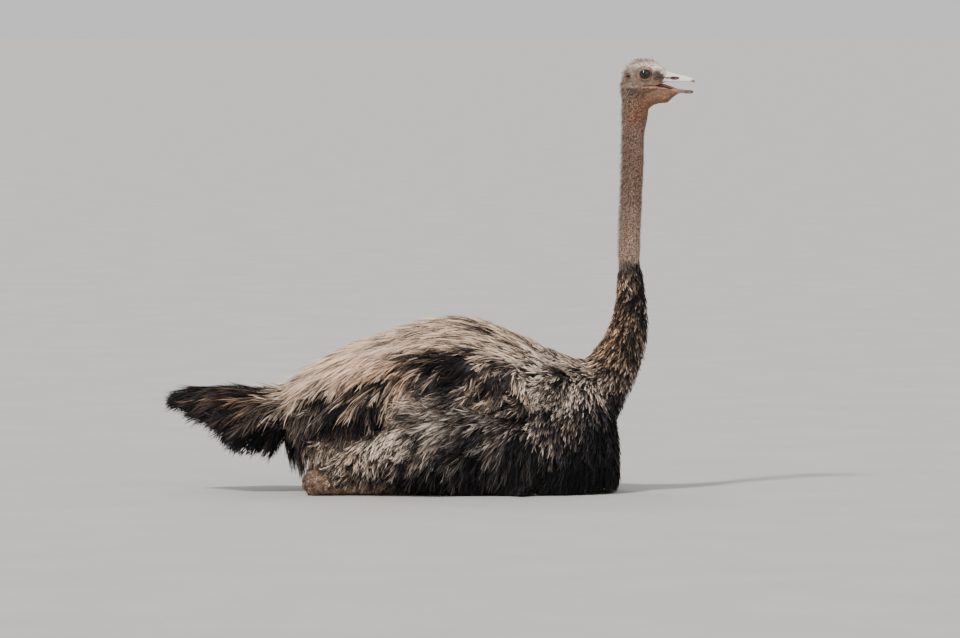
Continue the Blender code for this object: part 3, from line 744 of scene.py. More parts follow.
# plumes, side-view places: x, z, lay in degrees, length, depth, tone, warmth, pale tip
coatPosts = (
    (0.42, 0.385, 172, 0.07, 0.014, 0.46, 0.4, 0.4), (0.3, 0.4, 165, 0.12, 0.018, 0.63, 0.4, 0.4),
    (0.2, 0.45, 168, 0.15, 0.022, 0.78, 0.5, 0.5), (0.08, 0.48, 180, 0.16, 0.022, 0.85, 0.5, 0.5),
    (-0.05, 0.46, 193, 0.165, 0.024, 0.9, 0.5, 0.5), (-0.15, 0.42, 200, 0.165, 0.026, 0.94, 0.5, 0.5),
    (-0.25, 0.38, 203, 0.16, 0.026, 0.78, 0.5, 0.6), (-0.33, 0.34, 208, 0.115, 0.024, 0.76, 0.5, 0.4),
    (-0.405, 0.29, 202, 0.095, 0.018, 0.1, 0.4, 0.4), (0.31, 0.362, 165, 0.11, 0.018, 0.66, 0.4, 0.6),
    (0.2, 0.4, 172, 0.13, 0.02, 0.46, 0.5, 0.5), (0.06, 0.42, 187, 0.14, 0.024, 0.5, 0.6, 0.5),
    (-0.08, 0.39, 200, 0.155, 0.026, 0.88, 0.7, 0.5), (-0.18, 0.335, 212, 0.155, 0.028, 0.64, 0.6, 0.6),
    (-0.275, 0.32, 215, 0.145, 0.026, 0.56, 0.6, 0.6), (-0.35, 0.285, 219, 0.095, 0.022, 0.4, 0.5, 0.4),
    (-0.245, 0.258, 238, 0.09, 0.022, 0.02, 0.2, 0.5), (-0.3, 0.24, 236, 0.085, 0.022, 0.04, 0.2, 0.6),
    (-0.19, 0.285, 244, 0.09, 0.022, 0.04, 0.2, 0.4), (0.0, 0.36, 205, 0.11, 0.02, 0.42, 0.5, 0.4),
    (-0.045, 0.335, 226, 0.075, 0.018, 0.42, 0.5, 0.1), (-0.095, 0.292, 246, 0.09, 0.016, 0.06, 0.3, 0.3),
    (0.1, 0.335, 198, 0.1, 0.018, 0.22, 0.4, 0.4), (-0.005, 0.292, 208, 0.075, 0.018, 0.4, 0.4, 0.4),
    (0.17, 0.3, 192, 0.09, 0.018, 0.16, 0.1, 0.4), (0.0, 0.255, 194, 0.095, 0.022, 0.46, 0.1, 0.4),
    (0.1, 0.22, 190, 0.11, 0.022, 0.42, 0.0, 0.4), (0.2, 0.215, 198, 0.08, 0.02, 0.42, 0.0, 0.7),
    (-0.06, 0.225, 200, 0.07, 0.02, 0.26, 0.2, 0.3), (0.13, 0.18, 205, 0.1, 0.02, 0.2, 0.1, 0.5),
    (0.15, 0.14, 226, 0.1, 0.018, -0.1, 0.1, 0.3), (0.05, 0.18, 204, 0.09, 0.02, 0.46, 0.2, 0.5),
    (0.01, 0.16, 212, 0.08, 0.02, 0.3, 0.1, 0.5), (0.3, 0.295, 215, 0.046, 0.018, 0.32, 0.2, 1.45),
    (0.36, 0.33, 200, 0.05, 0.016, 0.31, 0.2, 1.4), (0.43, 0.33, 218, 0.044, 0.014, 0.34, 0.2, 1.5),
    (0.36, 0.27, 232, 0.048, 0.018, 0.26, 0.1, 1.3), (0.375, 0.232, 240, 0.048, 0.017, 0.02, 0.1, 1.1),
    (0.44, 0.29, 246, 0.046, 0.016, 0.22, 0.1, 1.4), (0.475, 0.245, 254, 0.05, 0.015, -0.3, 0.1, 0.3),
    (0.415, 0.215, 250, 0.05, 0.015, 0.0, 0.1, 0.9), (0.31, 0.225, 226, 0.05, 0.018, 0.14, 0.1, 1.35),
    (0.25, 0.24, 214, 0.055, 0.018, 0.02, 0.1, 0.9), (0.38, 0.185, 250, 0.055, 0.016, -0.12, 0.1, 0.7),
    (0.47, 0.19, 258, 0.055, 0.015, -0.14, 0.1, 0.3), (0.51, 0.2, 262, 0.058, 0.015, -0.1, 0.3, 0.35),
    (0.505, 0.4, 236, 0.042, 0.011, 0.2, 1.2, 0.9), (0.585, 0.4, 252, 0.044, 0.015, 0.12, 0.3, 0.7),
    (0.5, 0.32, 240, 0.045, 0.013, 0.26, 0.4, 0.8), (0.535, 0.5, 258, 0.036, 0.009, 0.2, 1.3, 0.8),
    (0.59, 0.5, 264, 0.038, 0.013, 0.12, 0.4, 0.6), (0.535, 0.59, 266, 0.032, 0.007, 0.24, 0.9, 0.5),
    (0.58, 0.59, 268, 0.032, 0.007, 0.08, 0.5, 0.4), (0.555, 0.66, 269, 0.026, 0.004, 0.06, 0.6, 0.3),
    # the posts low on breast, belly and flank carry near-black tones: partly the plumage's own black, partly
    # painted shade on the underside
    (0.5, 0.1, 266, 0.075, 0.014, -0.2, 0.2, 0.1), (0.4, 0.12, 256, 0.115, 0.016, -0.16, 0.0, 0.2),
    (0.3, 0.14, 252, 0.14, 0.018, -0.14, 0.1, 0.25), (0.2, 0.13, 248, 0.145, 0.018, -0.12, 0.1, 0.3),
    (0.4, 0.04, 262, 0.07, 0.014, -0.18, 0.1, 0.2), (0.2, 0.04, 252, 0.09, 0.015, -0.18, 0.1, 0.2),
    (0.3, 0.06, 256, 0.09, 0.015, -0.18, 0.1, 0.2), (0.06, 0.06, 250, 0.1, 0.018, -0.22, 0.1, 0.35),
    (0.05, 0.115, 232, 0.11, 0.02, -0.18, 0.1, 0.4), (-0.02, 0.145, 222, 0.085, 0.02, 0.02, 0.2, 0.4),
    (-0.05, 0.095, 228, 0.105, 0.018, -0.26, 0.2, 0.3), (-0.105, 0.06, 236, 0.08, 0.014, -0.14, 0.2, 0.5),
    (-0.03, 0.05, 240, 0.075, 0.014, -0.24, 0.1, 0.3), (-0.085, 0.19, 212, 0.036, 0.013, 1.0, 0.2, 0.6),
    (-0.12, 0.175, 214, 0.038, 0.012, 1.0, 0.2, 0.6), (-0.09, 0.16, 214, 0.04, 0.014, 0.95, 0.2, 0.6),
    (-0.168, 0.152, 218, 0.045, 0.01, 0.7, 0.4, 0.5), (-0.205, 0.118, 226, 0.05, 0.009, 0.3, 0.4, 0.4),
    (-0.245, 0.08, 226, 0.034, 0.007, 0.24, 0.5, 0.4), (-0.13, 0.115, 238, 0.08, 0.013, -0.1, 0.3, 0.4),
    (-0.17, 0.085, 242, 0.08, 0.011, -0.12, 0.3, 0.5), (-0.13, 0.215, 240, 0.1, 0.022, 0.04, 0.3, 0.5),
    (-0.2, 0.205, 250, 0.09, 0.022, -0.04, 0.3, 0.6), (-0.15, 0.258, 244, 0.085, 0.02, -0.06, 0.2, 0.3),
    (-0.28, 0.195, 254, 0.08, 0.022, 0.12, 0.4, 1.0), (-0.27, 0.14, 248, 0.06, 0.014, 0.68, 0.4, 1.1),
    (-0.21, 0.15, 240, 0.055, 0.013, 0.56, 0.4, 1.0), (-0.345, 0.16, 240, 0.095, 0.02, 0.24, 0.4, 1.0),
    (-0.385, 0.2, 232, 0.105, 0.022, -0.1, 0.3, 0.6), (-0.45, 0.285, 183, 0.15, 0.018, -0.02, 0.2, 0.5),
    (-0.55, 0.29, 181, 0.15, 0.015, -0.14, 0.0, 0.4), (-0.64, 0.285, 183, 0.09, 0.011, -0.18, 0.0, 0.35),
    (-0.695, 0.27, 186, 0.065, 0.007, -0.14, 0.0, 0.4), (-0.445, 0.205, 230, 0.1, 0.024, -0.1, 0.1, 0.4),
    (-0.425, 0.17, 236, 0.085, 0.02, -0.04, 0.2, 0.6), (-0.55, 0.205, 213, 0.095, 0.022, -0.14, 0.0, 0.3),
    (-0.62, 0.235, 196, 0.08, 0.016, -0.14, 0.0, 0.3), (-0.5, 0.16, 224, 0.065, 0.022, -0.18, 0.0, 0.3),
)
# where an upper layer of plumes ends in a fringe over the layer below: x and z
plumeHems = (
    ((-0.76, 0.006), (0.76, 0.006)),
    (
        (-0.765, 0.25), (-0.705, 0.24), (-0.665, 0.222), (-0.612, 0.2), (-0.582, 0.16), (-0.557, 0.13),
        (-0.506, 0.118), (-0.464, 0.126), (-0.418, 0.097), (-0.37, 0.07), (-0.3, 0.08),
    ),
    ((-0.168, 0.207), (-0.12, 0.203), (-0.07, 0.19)),
    (
        (-0.48, 0.195), (-0.434, 0.212), (-0.382, 0.242), (-0.337, 0.272), (-0.292, 0.286),
        (-0.247, 0.298), (-0.203, 0.318), (-0.158, 0.322), (-0.125, 0.33), (-0.092, 0.332),
    ),
    (
        (-0.06, 0.38), (0.0, 0.394), (0.06, 0.399), (0.11, 0.39), (0.13, 0.358), (0.185, 0.338),
        (0.205, 0.305), (0.245, 0.29), (0.276, 0.24),
    ),
)
plumeSizes = {
    "reach": 0.036, "seed": 41, "tries": 260000, "stops": 8, "gravity": 0.12, "sag": 0.22, "topEdge": 0.632,
    "rootGap": 0.0034, "gapPerLength": 0.078, "barbsPerMetre": 440, "fewest": 16, "most": 68,
    "perClump": 3, "barbWidth": 0.0016, "longWidth": 0.00135, "floor": 0.0035, "hangFrom": -0.12,
    "darkShare": 0.18, "fringe": (0.002, 0.02), "parting": (0.372, 0.312), "partingReach": 0.034,
}
barbStops = (0, 0.36, 0.7, 1.0)  # where a barb's own sections lie along it
barbTaper = (0.55, 1.0, 0.8, 0)  # and its width there
# angles in degrees at the root, and how much less at the tip; loose is what long plumes differ by
barbSizes = {
    "angle": 34, "angleLoose": 11, "closing": 26, "closingLoose": 9, "angleScatter": (9, 6), "roll": 75,
    "reach": 0.42, "reachLoose": 0.14, "shorter": 0.22, "curl": (0.11, 0.05), "lift": (0.3, 0.12),
}
# each tract's own test of a root's place, and how many barbs its plumes carry against the usual
tracts = (
    ("plumesTail", lambda x, y, z: x < -0.415, 1.5),
    ("plumesNeck", lambda x, y, z: (z > 0.345 + (0.56 - x) * 0.9) & (x > 0.42), 1.0),
    ("plumesBreast", lambda x, y, z: x > 0.4, 0.9),
    ("plumesBack", lambda x, y, z: ((z > 0.36) | (z > 0.4 + x * 0.3)) & (x > 0.02), 1.0),
    ("plumesSaddle", lambda x, y, z: (z > 0.36) | (z > 0.4 + x * 0.3), 1.0),
    ("plumesLeft", lambda x, y, z: (y > 0) & (z > 0.175), 1.0),
    ("plumesRight", lambda x, y, z: (y < 0) & (z > 0.175), 1.0),
    ("plumesLowLeft", lambda x, y, z: y > 0, 1.0),
    ("plumesLowRight", lambda x, y, z: y <= 0, 1.0),
)


def coatAt(x, z):
    # lay as a direction, then length, depth, tone, warmth and pale tip at side-view places
    posts = np.array(coatPosts)
    gap = (x[:, None] - posts[:, 0]) ** 2 + (z[:, None] - posts[:, 1]) ** 2
    gap -= gap.min(axis=1, keepdims=True)
    weight = np.exp(-gap / (2 * plumeSizes["reach"] ** 2))
    weight /= weight.sum(axis=1, keepdims=True)
    lay = np.radians(posts[:, 2])
    values = weight @ posts[:, 3:]
    added = strokesAt(x, z)
    # the strokes' tone holds painted shade in hollows and a painted highlight on the wing's ridge
    values[:, 2] += added[:, 3]
    values[:, 3] += added[:, 4]
    return unit(np.column_stack([weight @ np.cos(lay), weight @ np.sin(lay)])) + added[:, :2], values


def skinSamples(mesh, count, rng):
    # random places on the skin, by area, with their normals
    points, normals = pointsOf(mesh), normalsOf(mesh)
    corners = np.empty(len(mesh.polygons) * 3, np.int32)
    mesh.loops.foreach_get("vertex_index", corners)
    corners = corners.reshape(-1, 3)
    a, b, c = (points[corners[:, i]] for i in range(3))
    area = np.linalg.norm(np.cross(b - a, c - a), axis=1)
    pick = rng.choice(len(area), count, p=area / area.sum())
    u, v = rng.random((2, count))
    flip = u + v > 1
    u, v = np.where(flip, 1 - u, u), np.where(flip, 1 - v, v)
    share = np.column_stack([1 - u - v, u, v])[:, :, None]
    place = (np.stack([a, b, c], axis=1)[pick] * share).sum(axis=1)
    normal = (normals[corners[pick]] * share).sum(axis=1)
    return place, unit(normal)


def sparse(places, gaps):
    # picks places in order so that none lies nearer to an earlier one than its own gap
    cell = gaps.max()
    grid, kept = {}, []
    for index, (place, gap) in enumerate(zip(places.tolist(), gaps.tolist())):
        key = tuple(int(c // cell) for c in place)
        near = (
            other
            for i in (-1, 0, 1) for j in (-1, 0, 1) for k in (-1, 0, 1)
            for other in grid.get((key[0] + i, key[1] + j, key[2] + k), ())
        )
        limit = gap * gap
        if all(sum((p - q) ** 2 for p, q in zip(place, other)) > limit for other in near):
            grid.setdefault(key, []).append(place)
            kept.append(index)
    return np.array(kept)


def alongSkin(ways, normals):
    return unit(ways - normals * np.sum(ways * normals, axis=1, keepdims=True))


def hanging(facing):
    # past the body's widest line a plume hangs instead of turning under
    low = plumeSizes["hangFrom"]
    return Vector((facing.x, facing.y, low)).normalized() if facing.z < low else facing


def traceShafts(roots, normals, ways, values, tree, rng):
    # points and surface normals along every shaft, moved out to the coat's depth as they go
    stops, count = plumeSizes["stops"], len(roots)
    length, depth = values[:, 0], values[:, 1] * rng.uniform(0.75, 1.25, count)
    step = (length / (stops - 1))[:, None]
    line = np.empty((count, stops, 3))
    outward = np.empty((count, stops, 3))
    line[:, 0], outward[:, 0] = roots + normals * 0.001, normals
    way = ways
    turn = np.radians(10 * ripple(roots, 0.11, 21) + rng.normal(0, 5, count))
    for k in range(1, stops):
        lay, _ = coatAt(line[:, k - 1, 0], line[:, k - 1, 2])
        lay = unit(lay)
        bent = np.column_stack([
            lay[:, 0] * np.cos(turn) - lay[:, 1] * np.sin(turn), np.zeros(count),
            lay[:, 0] * np.sin(turn) + lay[:, 1] * np.cos(turn),
        ])
        normal = outward[:, k - 1]
        ahead = smoothStep(0.6, 0.92, normal[:, 0])  # on a surface that faces forward they hang
        bent[:, 0] *= 1 - ahead
        bent[:, 2] -= plumeSizes["gravity"] + 0.8 * ahead
        way = unit(way * 0.5 + alongSkin(bent, normal) * 0.5)
        nextPoint = line[:, k - 1] + way * step
        rise = depth * (0.08 + 0.92 * (k / (stops - 1)) ** 0.9)
        for i in range(count):
            near, facing, _, _ = tree.find_nearest(nextPoint[i])
            facing = hanging(facing)
            gap = Vector(nextPoint[i]) - near
            if gap.dot(facing) < rise[i] or gap.length < rise[i]:
                nextPoint[i] = near + facing * rise[i]
                outward[i, k] = facing
            else:
                loose = gap.normalized()
                if loose.z >= plumeSizes["hangFrom"]:
                    nextPoint[i] -= loose * min((gap.length - rise[i]) * 0.35, step[i, 0] * 0.3)
                outward[i, k] = hanging(loose)
        way = unit(nextPoint - line[:, k - 1])
        line[:, k] = nextPoint
        outward[:, k] = unit(outward[:, k] * 0.5 + outward[:, k - 1] * 0.5)
    return line, outward


def trimAtHems(line, outward, values, rng):
    # shortens the plumes that cross a hem so that they end a little beyond it
    count, stops, _ = line.shape
    keep = np.ones(count)
    flat = line[:, :, (0, 2)]
    for hem in plumeHems:
        for first, second in zip(np.array(hem), np.array(hem)[1:]):
            span = second - first
            for k in range(stops - 1):
                step = flat[:, k + 1] - flat[:, k]
                cross = step[:, 0] * span[1] - step[:, 1] * span[0]
                cross = np.where(np.abs(cross) < 1e-12, 1e-12, cross)
                gap = first - flat[:, k]
                t = (gap[:, 0] * span[1] - gap[:, 1] * span[0]) / cross
                u = (gap[:, 0] * step[:, 1] - gap[:, 1] * step[:, 0]) / cross
                hit = (t >= 0) & (t < 1) & (u >= 0) & (u <= 1) & (cross > 0)
                keep = np.where(hit, np.minimum(keep, (k + t) / (stops - 1)), keep)
    onFloor = np.min(line[:, :, 2], axis=1) < 0.006
    extra = np.where(onFloor, 0.0, rng.uniform(*plumeSizes["fringe"], count)) / values[:, 0]
    share = np.where(keep < 1, np.clip(keep + extra, np.where(onFloor, 0.05, 0.3), 1), 1)
    owner = np.repeat(np.arange(count), stops)
    at = (share[:, None] * np.linspace(0, 1, stops)).ravel()
    values = values.copy()
    values[:, 0] *= share
    line, outward = (along(field, owner, at).reshape(line.shape) for field in (line, outward))
    return line, unit(outward), values


def along(line, owner, share):
    # points at shares of their owner's line, running straight on past its end
    last = line.shape[1] - 1
    at = np.clip(share, 0, None) * last
    low = np.clip(at.astype(int), 0, last - 1)
    part = (at - low)[:, None]
    return line[owner, low] * (1 - part) + line[owner, low + 1] * part


def growBarbs(line, outward, values, places, more, wrap, rng):
    # every barb as a tapering ribbon of five triangles; returns points, triangles, values and places
    length = values[:, 0]
    number = np.clip(length * plumeSizes["barbsPerMetre"], plumeSizes["fewest"], plumeSizes["most"]) * more
    number = (number * rng.uniform(0.85, 1.15, len(number))).astype(int)
    owner = np.repeat(np.arange(len(length)), number)
    order = np.arange(len(owner)) - np.repeat(np.cumsum(number) - number, number)
    clump = owner * 64 + order // plumeSizes["perClump"]
    table = rng.random((clump.max() + 1, 5))[clump]
    own = rng.random((len(owner), 6))
    sizes = barbSizes
    curl = rng.normal(0, sizes["curl"][0], clump.max() + 1)[clump]
    curl = curl + rng.normal(0, sizes["curl"][1], len(owner))
    side = np.where(table[:, 0] < 0.5, -1.0, 1.0)
    start = 0.04 + 0.86 * (order / number[owner]) + (own[:, 0] - 0.5) * 0.05
    loose = smoothStep(0.05, 0.12, length)[owner]  # long plumes hang in strands, short ones stay broad
    closing = sizes["closing"] - sizes["closingLoose"] * loose
    angle = sizes["angle"] - sizes["angleLoose"] * loose - closing * start
    byClump, byBarb = sizes["angleScatter"]
    spread = np.radians(angle + byClump * (table[:, 1] - 0.5) + byBarb * (own[:, 1] - 0.5))
    reach = length[owner] * (sizes["reach"] + sizes["reachLoose"] * loose - sizes["shorter"] * start)
    reach = reach * (0.7 + 0.6 * table[:, 2]) * (0.75 + 0.5 * own[:, 2])
    roll = np.radians(sizes["roll"] * (own[:, 3] - 0.5))
    lift = (table[:, 3] - 0.4) * sizes["lift"][0] + (own[:, 4] - 0.5) * sizes["lift"][1]
    width = np.interp(length[owner], [0.03, 0.16], [plumeSizes["barbWidth"], plumeSizes["longWidth"]])
    width = width * (0.7 + 0.6 * own[:, 5])
    edges = []
    for part, taper in zip(barbStops, barbTaper):
        run = reach * part
        forward = start + run * np.cos(spread) / length[owner]
        base, normal = along(line, owner, forward), unit(along(outward, owner, np.minimum(forward, 1)))
        ahead = unit(along(line, owner, forward + 0.03) - base)
        across = unit(np.cross(normal, ahead)) * side[:, None]
        aside = run * (np.sin(spread) * (1 - 0.3 * part) + curl * part**2)
        height = lift * run * (1 - 0.4 * part) - aside**2 / (2 * wrap[owner])
        place = base + across * aside[:, None] + normal * height[:, None]
        place[:, 2] -= plumeSizes["sag"] * run * part * np.abs(np.sin(spread))
        leaning = unit(ahead * np.cos(spread)[:, None] + across * np.sin(spread)[:, None])
        edge = unit(np.cross(normal, leaning)) * np.cos(roll)[:, None] + normal * np.sin(roll)[:, None]
        half = (width * taper / 2)[:, None]
        edges += [place - edge * half, place + edge * half]
    points = np.stack(edges[:7], axis=1)  # both edges of a ribbon run together at its tip
    low = plumeSizes["floor"] - 0.001
    points[..., 2] = np.where(points[..., 2] < low, low + 0.0015 * own[:, 5, None], points[..., 2])
    first = (np.arange(len(owner)) * 7)[:, None, None]
    pattern = np.array(((0, 1, 3), (0, 3, 2), (2, 3, 5), (2, 5, 4), (4, 5, 6)))
    triangles = (first + pattern[None]).reshape(-1, 3)
    far = np.repeat(barbStops, 2)[:7]
    reached = start[:, None] + (1 - start[:, None]) * far * 0.9
    facts = {"along": reached.ravel(), "fleck": np.repeat(0.5 * table[:, 4] + 0.5 * own[:, 2], 7)}
    for column, label in ((2, "tone"), (3, "warmth"), (4, "paleTip")):
        facts[label] = np.repeat(values[owner, column], 7)
    spot = 0.5 + 0.45 * side[:, None] * np.array([0, 0.05, 0.4, 0.45, 0.8, 0.85, 1.0])
    local = np.stack([spot, reached], axis=2).reshape(-1, 2)
    uv = np.repeat(places[owner], 7, axis=0) + 0.003 * (np.clip(local, 0, 1) - 0.5)
    return points.reshape(-1, 3), triangles, facts, uv


def coatPiece(name, points, triangles, facts, uv, material):
    mesh = meshFrom(name, points, triangles)
    giveValues(mesh, **facts)
    giveSheet(mesh, uv, triangles)
    mesh.materials.append(material)
    return addObject(name, mesh)


# plumes from dark to pale, shared by the coat and the skin beneath it
plumeTones = (
    (0.0, (0.0043, 0.0041, 0.0047)), (0.3, (0.042, 0.038, 0.039)), (0.62, (0.252, 0.204, 0.169)),
    (1.0, (0.95, 0.83, 0.71)),
)


def plumeColourGroup():
    tree, start, end = shaderGroup(
        "plumeColour",
        {"Tone": ("Float", 0.3), "Warmth": ("Float", 0.3), "Fleck": ("Float", 0.5), "Spread": ("Float", 0.4),
         "Along": ("Float", 0.5), "Pale Tip": ("Float", 0.3)},
        {"Color": ("Color", None), "Roughness": ("Float", None)},
    )
    given = start.outputs
    flecks = times(tree, aboutZero(tree, given["Fleck"]), given["Spread"])
    flecks = times(tree, flecks, plus(tree, given["Tone"], 0.45, clamp=True))
    tip = times(tree, times(tree, softBand(tree, given["Along"], 0.55, 1.05), given["Pale Tip"]), 0.55)
    # painted shade: every barb darkens towards its plume's root, where plumes lie over one another
    root = times(tree, softBand(tree, given["Along"], 0.6, 0.0), 0.34)
    share = maths(tree, "SUBTRACT", plus(tree, plus(tree, given["Tone"], flecks), tip), root)
    base = colourRamp(tree, share, plumeTones)
    warm = blendColours(tree, times(tree, given["Warmth"], 0.8), base, (1.0, 0.7, 0.46, 1), "MULTIPLY")
    tree.links.new(warm, end.inputs["Color"])
    tree.links.new(plus(tree, times(tree, share, 0.25), 0.55), end.inputs["Roughness"])
    return tree


plumeColour = plumeColourGroup()


def plumeMaterial():
    material, tree, shader = plainMaterial("barredPlumes", 0.7, SpecularIORLevel=0.12)
    patches = times(tree, aboutZero(tree, noise(tree, objectPlace(tree), 9.0, 3.0)), 0.3)
    colour = useGroup(
        tree, plumeColour, Tone=plus(tree, namedValue(tree, "tone"), patches), Spread=1.3,
        Warmth=namedValue(tree, "warmth"), Fleck=namedValue(tree, "fleck"),
        Along=namedValue(tree, "along"), PaleTip=namedValue(tree, "paleTip"),
    )
    tree.links.new(colour["Color"], shader.inputs["Base Color"])
    tree.links.new(colour["Roughness"], shader.inputs["Roughness"])
    return material


def guideTree():
    # the skin, with the folded legs that the lower plumes hang over
    joined = [skin.data.copy()]
    for name in ("shank_left", "shank_right", "toe_outer_left", "toe_outer_right"):
        joined.append(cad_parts[name].data.copy())
    mesh = joinedMesh(joined)
    return BVHTree.FromPolygons(pointsOf(mesh).tolist(), [tuple(p.vertices) for p in mesh.polygons])


def makePlumes():
    rng = np.random.default_rng(plumeSizes["seed"])
    tree = guideTree()
    places, normals = skinSamples(skin.data, plumeSizes["tries"] // (1), rng)
    x, _, z = places.T
    feathered = z < plumeSizes["topEdge"] + 0.008 * ripple(places, 0.05, 17)
    feathered &= normals[:, 2] > np.where(x < -0.36, -0.95, -0.55)  # only the tail has plumes beneath
    feathered &= (z > 0.022) | (normals[:, 2] > -0.25)
    feathered &= ~((x < -0.268) & (z < 0.085))  # the hock is bare
    places, normals = places[feathered], normals[feathered]
    ways, values = coatAt(places[:, 0], places[:, 2])
    gaps = plumeSizes["rootGap"] + plumeSizes["gapPerLength"] * values[:, 0]
    middle = plumeSizes["parting"]  # the lay parts in front of the wing, and roots stand closer there
    parting = ((places - (middle[0], 0, middle[1])) * (1, 0, 1) / plumeSizes["partingReach"]) ** 2
    gaps = gaps * (1 - 0.5 * np.exp(-parting.sum(axis=1)))
    kept = sparse(places, gaps)
    roots, normals, ways, values = places[kept], normals[kept], ways[kept], values[kept].copy()
    count = len(kept)
    values[:, 0] *= rng.uniform(0.75, 1.2, count)
    scatter = np.interp(values[:, 0], (0.05, 0.1), (0.16, 0.11)) * np.clip(values[:, 2] + 0.6, 0.25, 1)
    dark = rng.random(count) < plumeSizes["darkShare"]  # single darker plumes among the rest
    values[:, 2] += 0.08 * ripple(roots, 0.07, 31) + rng.normal(0, 1, count) * scatter
    values[:, 2] -= dark * (0.26 + 0.26 * values[:, 2])
    under = np.minimum(normals[:, 2] + 0.12, 0)  # beneath the body they start out sideways, to hang
    sideways, upward = -np.sign(roots[:, 1]) * 0.6 * under, np.maximum(normals[:, 2], -0.12)
    normals = unit(normals * (1, 1, 0) + np.column_stack([0 * under, sideways, upward]))
    ahead = smoothStep(0.6, 0.92, normals[:, 0])
    way = np.column_stack([ways[:, 0] * (1 - ahead), np.zeros(count), ways[:, 1] - 0.8 * ahead])
    line, outward = traceShafts(roots, normals, alongSkin(way, normals), values, tree, rng)
    line, outward, values = trimAtHems(line, outward, values, rng)
    print("plumes:", count, "shafts")
    wrap = np.where((roots[:, 0] > 0.42) & (roots[:, 2] > 0.36), 0.05, 0.2)
    wrap = np.where(roots[:, 0] < -0.41, 0.09, wrap)
    material = plumeMaterial()
    left = np.ones(count, bool)
    total = 0
    for name, test, more in tracts:
        mine = left & test(*roots.T)
        left &= ~mine
        points, triangles, facts, uv = growBarbs(
            line[mine], outward[mine], values[mine], unwrapPlaces(roots[mine]), more, wrap[mine], rng
        )
        piece = coatPiece(name, points, triangles, facts, uv, material)
        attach(piece, bird)
        total += len(triangles)
        print("plumes:", name, mine.sum(), "shafts", len(triangles), "triangles")
    print("plumes:", total, "triangles in all")


makePlumes()


# bare head and neck, shared by the skin and its down
bareTones = {
    "neck": (0.205, 0.128, 0.092), "lowNeck": (0.4, 0.285, 0.215), "crown": (0.93, 0.82, 0.75),
    "nape": (0.19, 0.118, 0.082), "jaw": (0.232, 0.108, 0.06), "throat": (0.2, 0.092, 0.048),
    "blotch": (0.12, 0.078, 0.054),
}
# spots in the order they are laid on: x, z, half width, half height, softness, strength, colour
headSpots = (
    (0.556, 1.162, 0.028, 0.02, 0.6, 0.65, (0.33, 0.245, 0.195)),  # behind the eye
    (0.655, 1.164, 0.018, 0.022, 0.6, 0.85, (0.62, 0.535, 0.48)),  # paler towards the bill
    (0.556, 1.129, 0.022, 0.008, 0.8, 0.5, (0.43, 0.34, 0.285)),  # pale fringe of the cheek
    (0.558, 1.114, 0.016, 0.01, 0.9, 0.8, (0.066, 0.043, 0.034)),  # dark cheek
    (0.58, 1.11, 0.016, 0.016, 0.9, 0.6, (0.15, 0.088, 0.06)),
    (0.592, 1.1405, 0.03, 0.007, 0.6, 0.7, (0.22, 0.158, 0.122)),
    (0.615, 1.111, 0.017, 0.008, 0.9, 0.6, (0.13, 0.088, 0.064)),  # grey of the jaw
    (0.632, 1.095, 0.02, 0.008, 0.9, 0.28, (0.33, 0.18, 0.115)),
    (0.642, 1.1, 0.017, 0.005, 0.9, 0.32, (0.38, 0.22, 0.15)),
    (0.626, 1.1352, 0.019, 0.0046, 0.6, 0.9, (0.33, 0.145, 0.066)),  # upper lip
    (0.598, 1.1315, 0.008, 0.004, 0.6, 0.7, (0.13, 0.052, 0.028)),  # corner of the mouth
    (0.642, 1.119, 0.04, 0.004, 0.6, 0.5, (0.15, 0.078, 0.05)),
    (0.64, 1.125, 0.044, 0.003, 0.5, 0.9, (0.64, 0.4, 0.31)),  # lower lip
    # painted shade in the furrow round the lids
    (0.5925, 1.1618, 0.0282, 0.021, 0.25, 0.8, (0.125, 0.08, 0.06)),  # furrow round the lids
    (0.595, 1.1618, 0.025, 0.0182, 0.2, 0.95, (0.46, 0.325, 0.26)),  # lids
    (0.6105, 1.16, 0.01, 0.0055, 0.3, 0.9, (0.44, 0.27, 0.19)),
    (0.594, 1.1618, 0.0205, 0.0151, 0.15, 0.8, (0.12, 0.066, 0.048)),
    (0.5937, 1.1618, 0.0187, 0.014, 0.15, 0.9, (0.34, 0.19, 0.135)),
    (0.593, 1.162, 0.0156, 0.0131, 0.2, 1.0, (0.026, 0.016, 0.013)),  # wet rim
    (0.6245, 1.1585, 0.0115, 0.014, 0.55, 0.92, (0.074, 0.042, 0.033)),  # lore
    (0.6345, 1.1545, 0.011, 0.01, 0.5, 0.92, (0.062, 0.04, 0.036)),
    (0.648, 1.1512, 0.0125, 0.0032, 0.6, 0.85, (0.05, 0.032, 0.03)),
    (0.652, 1.142, 0.011, 0.0042, 0.4, 0.9, (0.64, 0.55, 0.49)),  # pale wedge under the lore
    (0.545, 1.157, 0.0075, 0.011, 1.0, 0.85, (0.14, 0.066, 0.032)),  # ear
    # painted shade inside the ear opening
    (0.5477, 1.156, 0.0042, 0.0036, 0.5, 1.0, (0.016, 0.01, 0.008)),
)


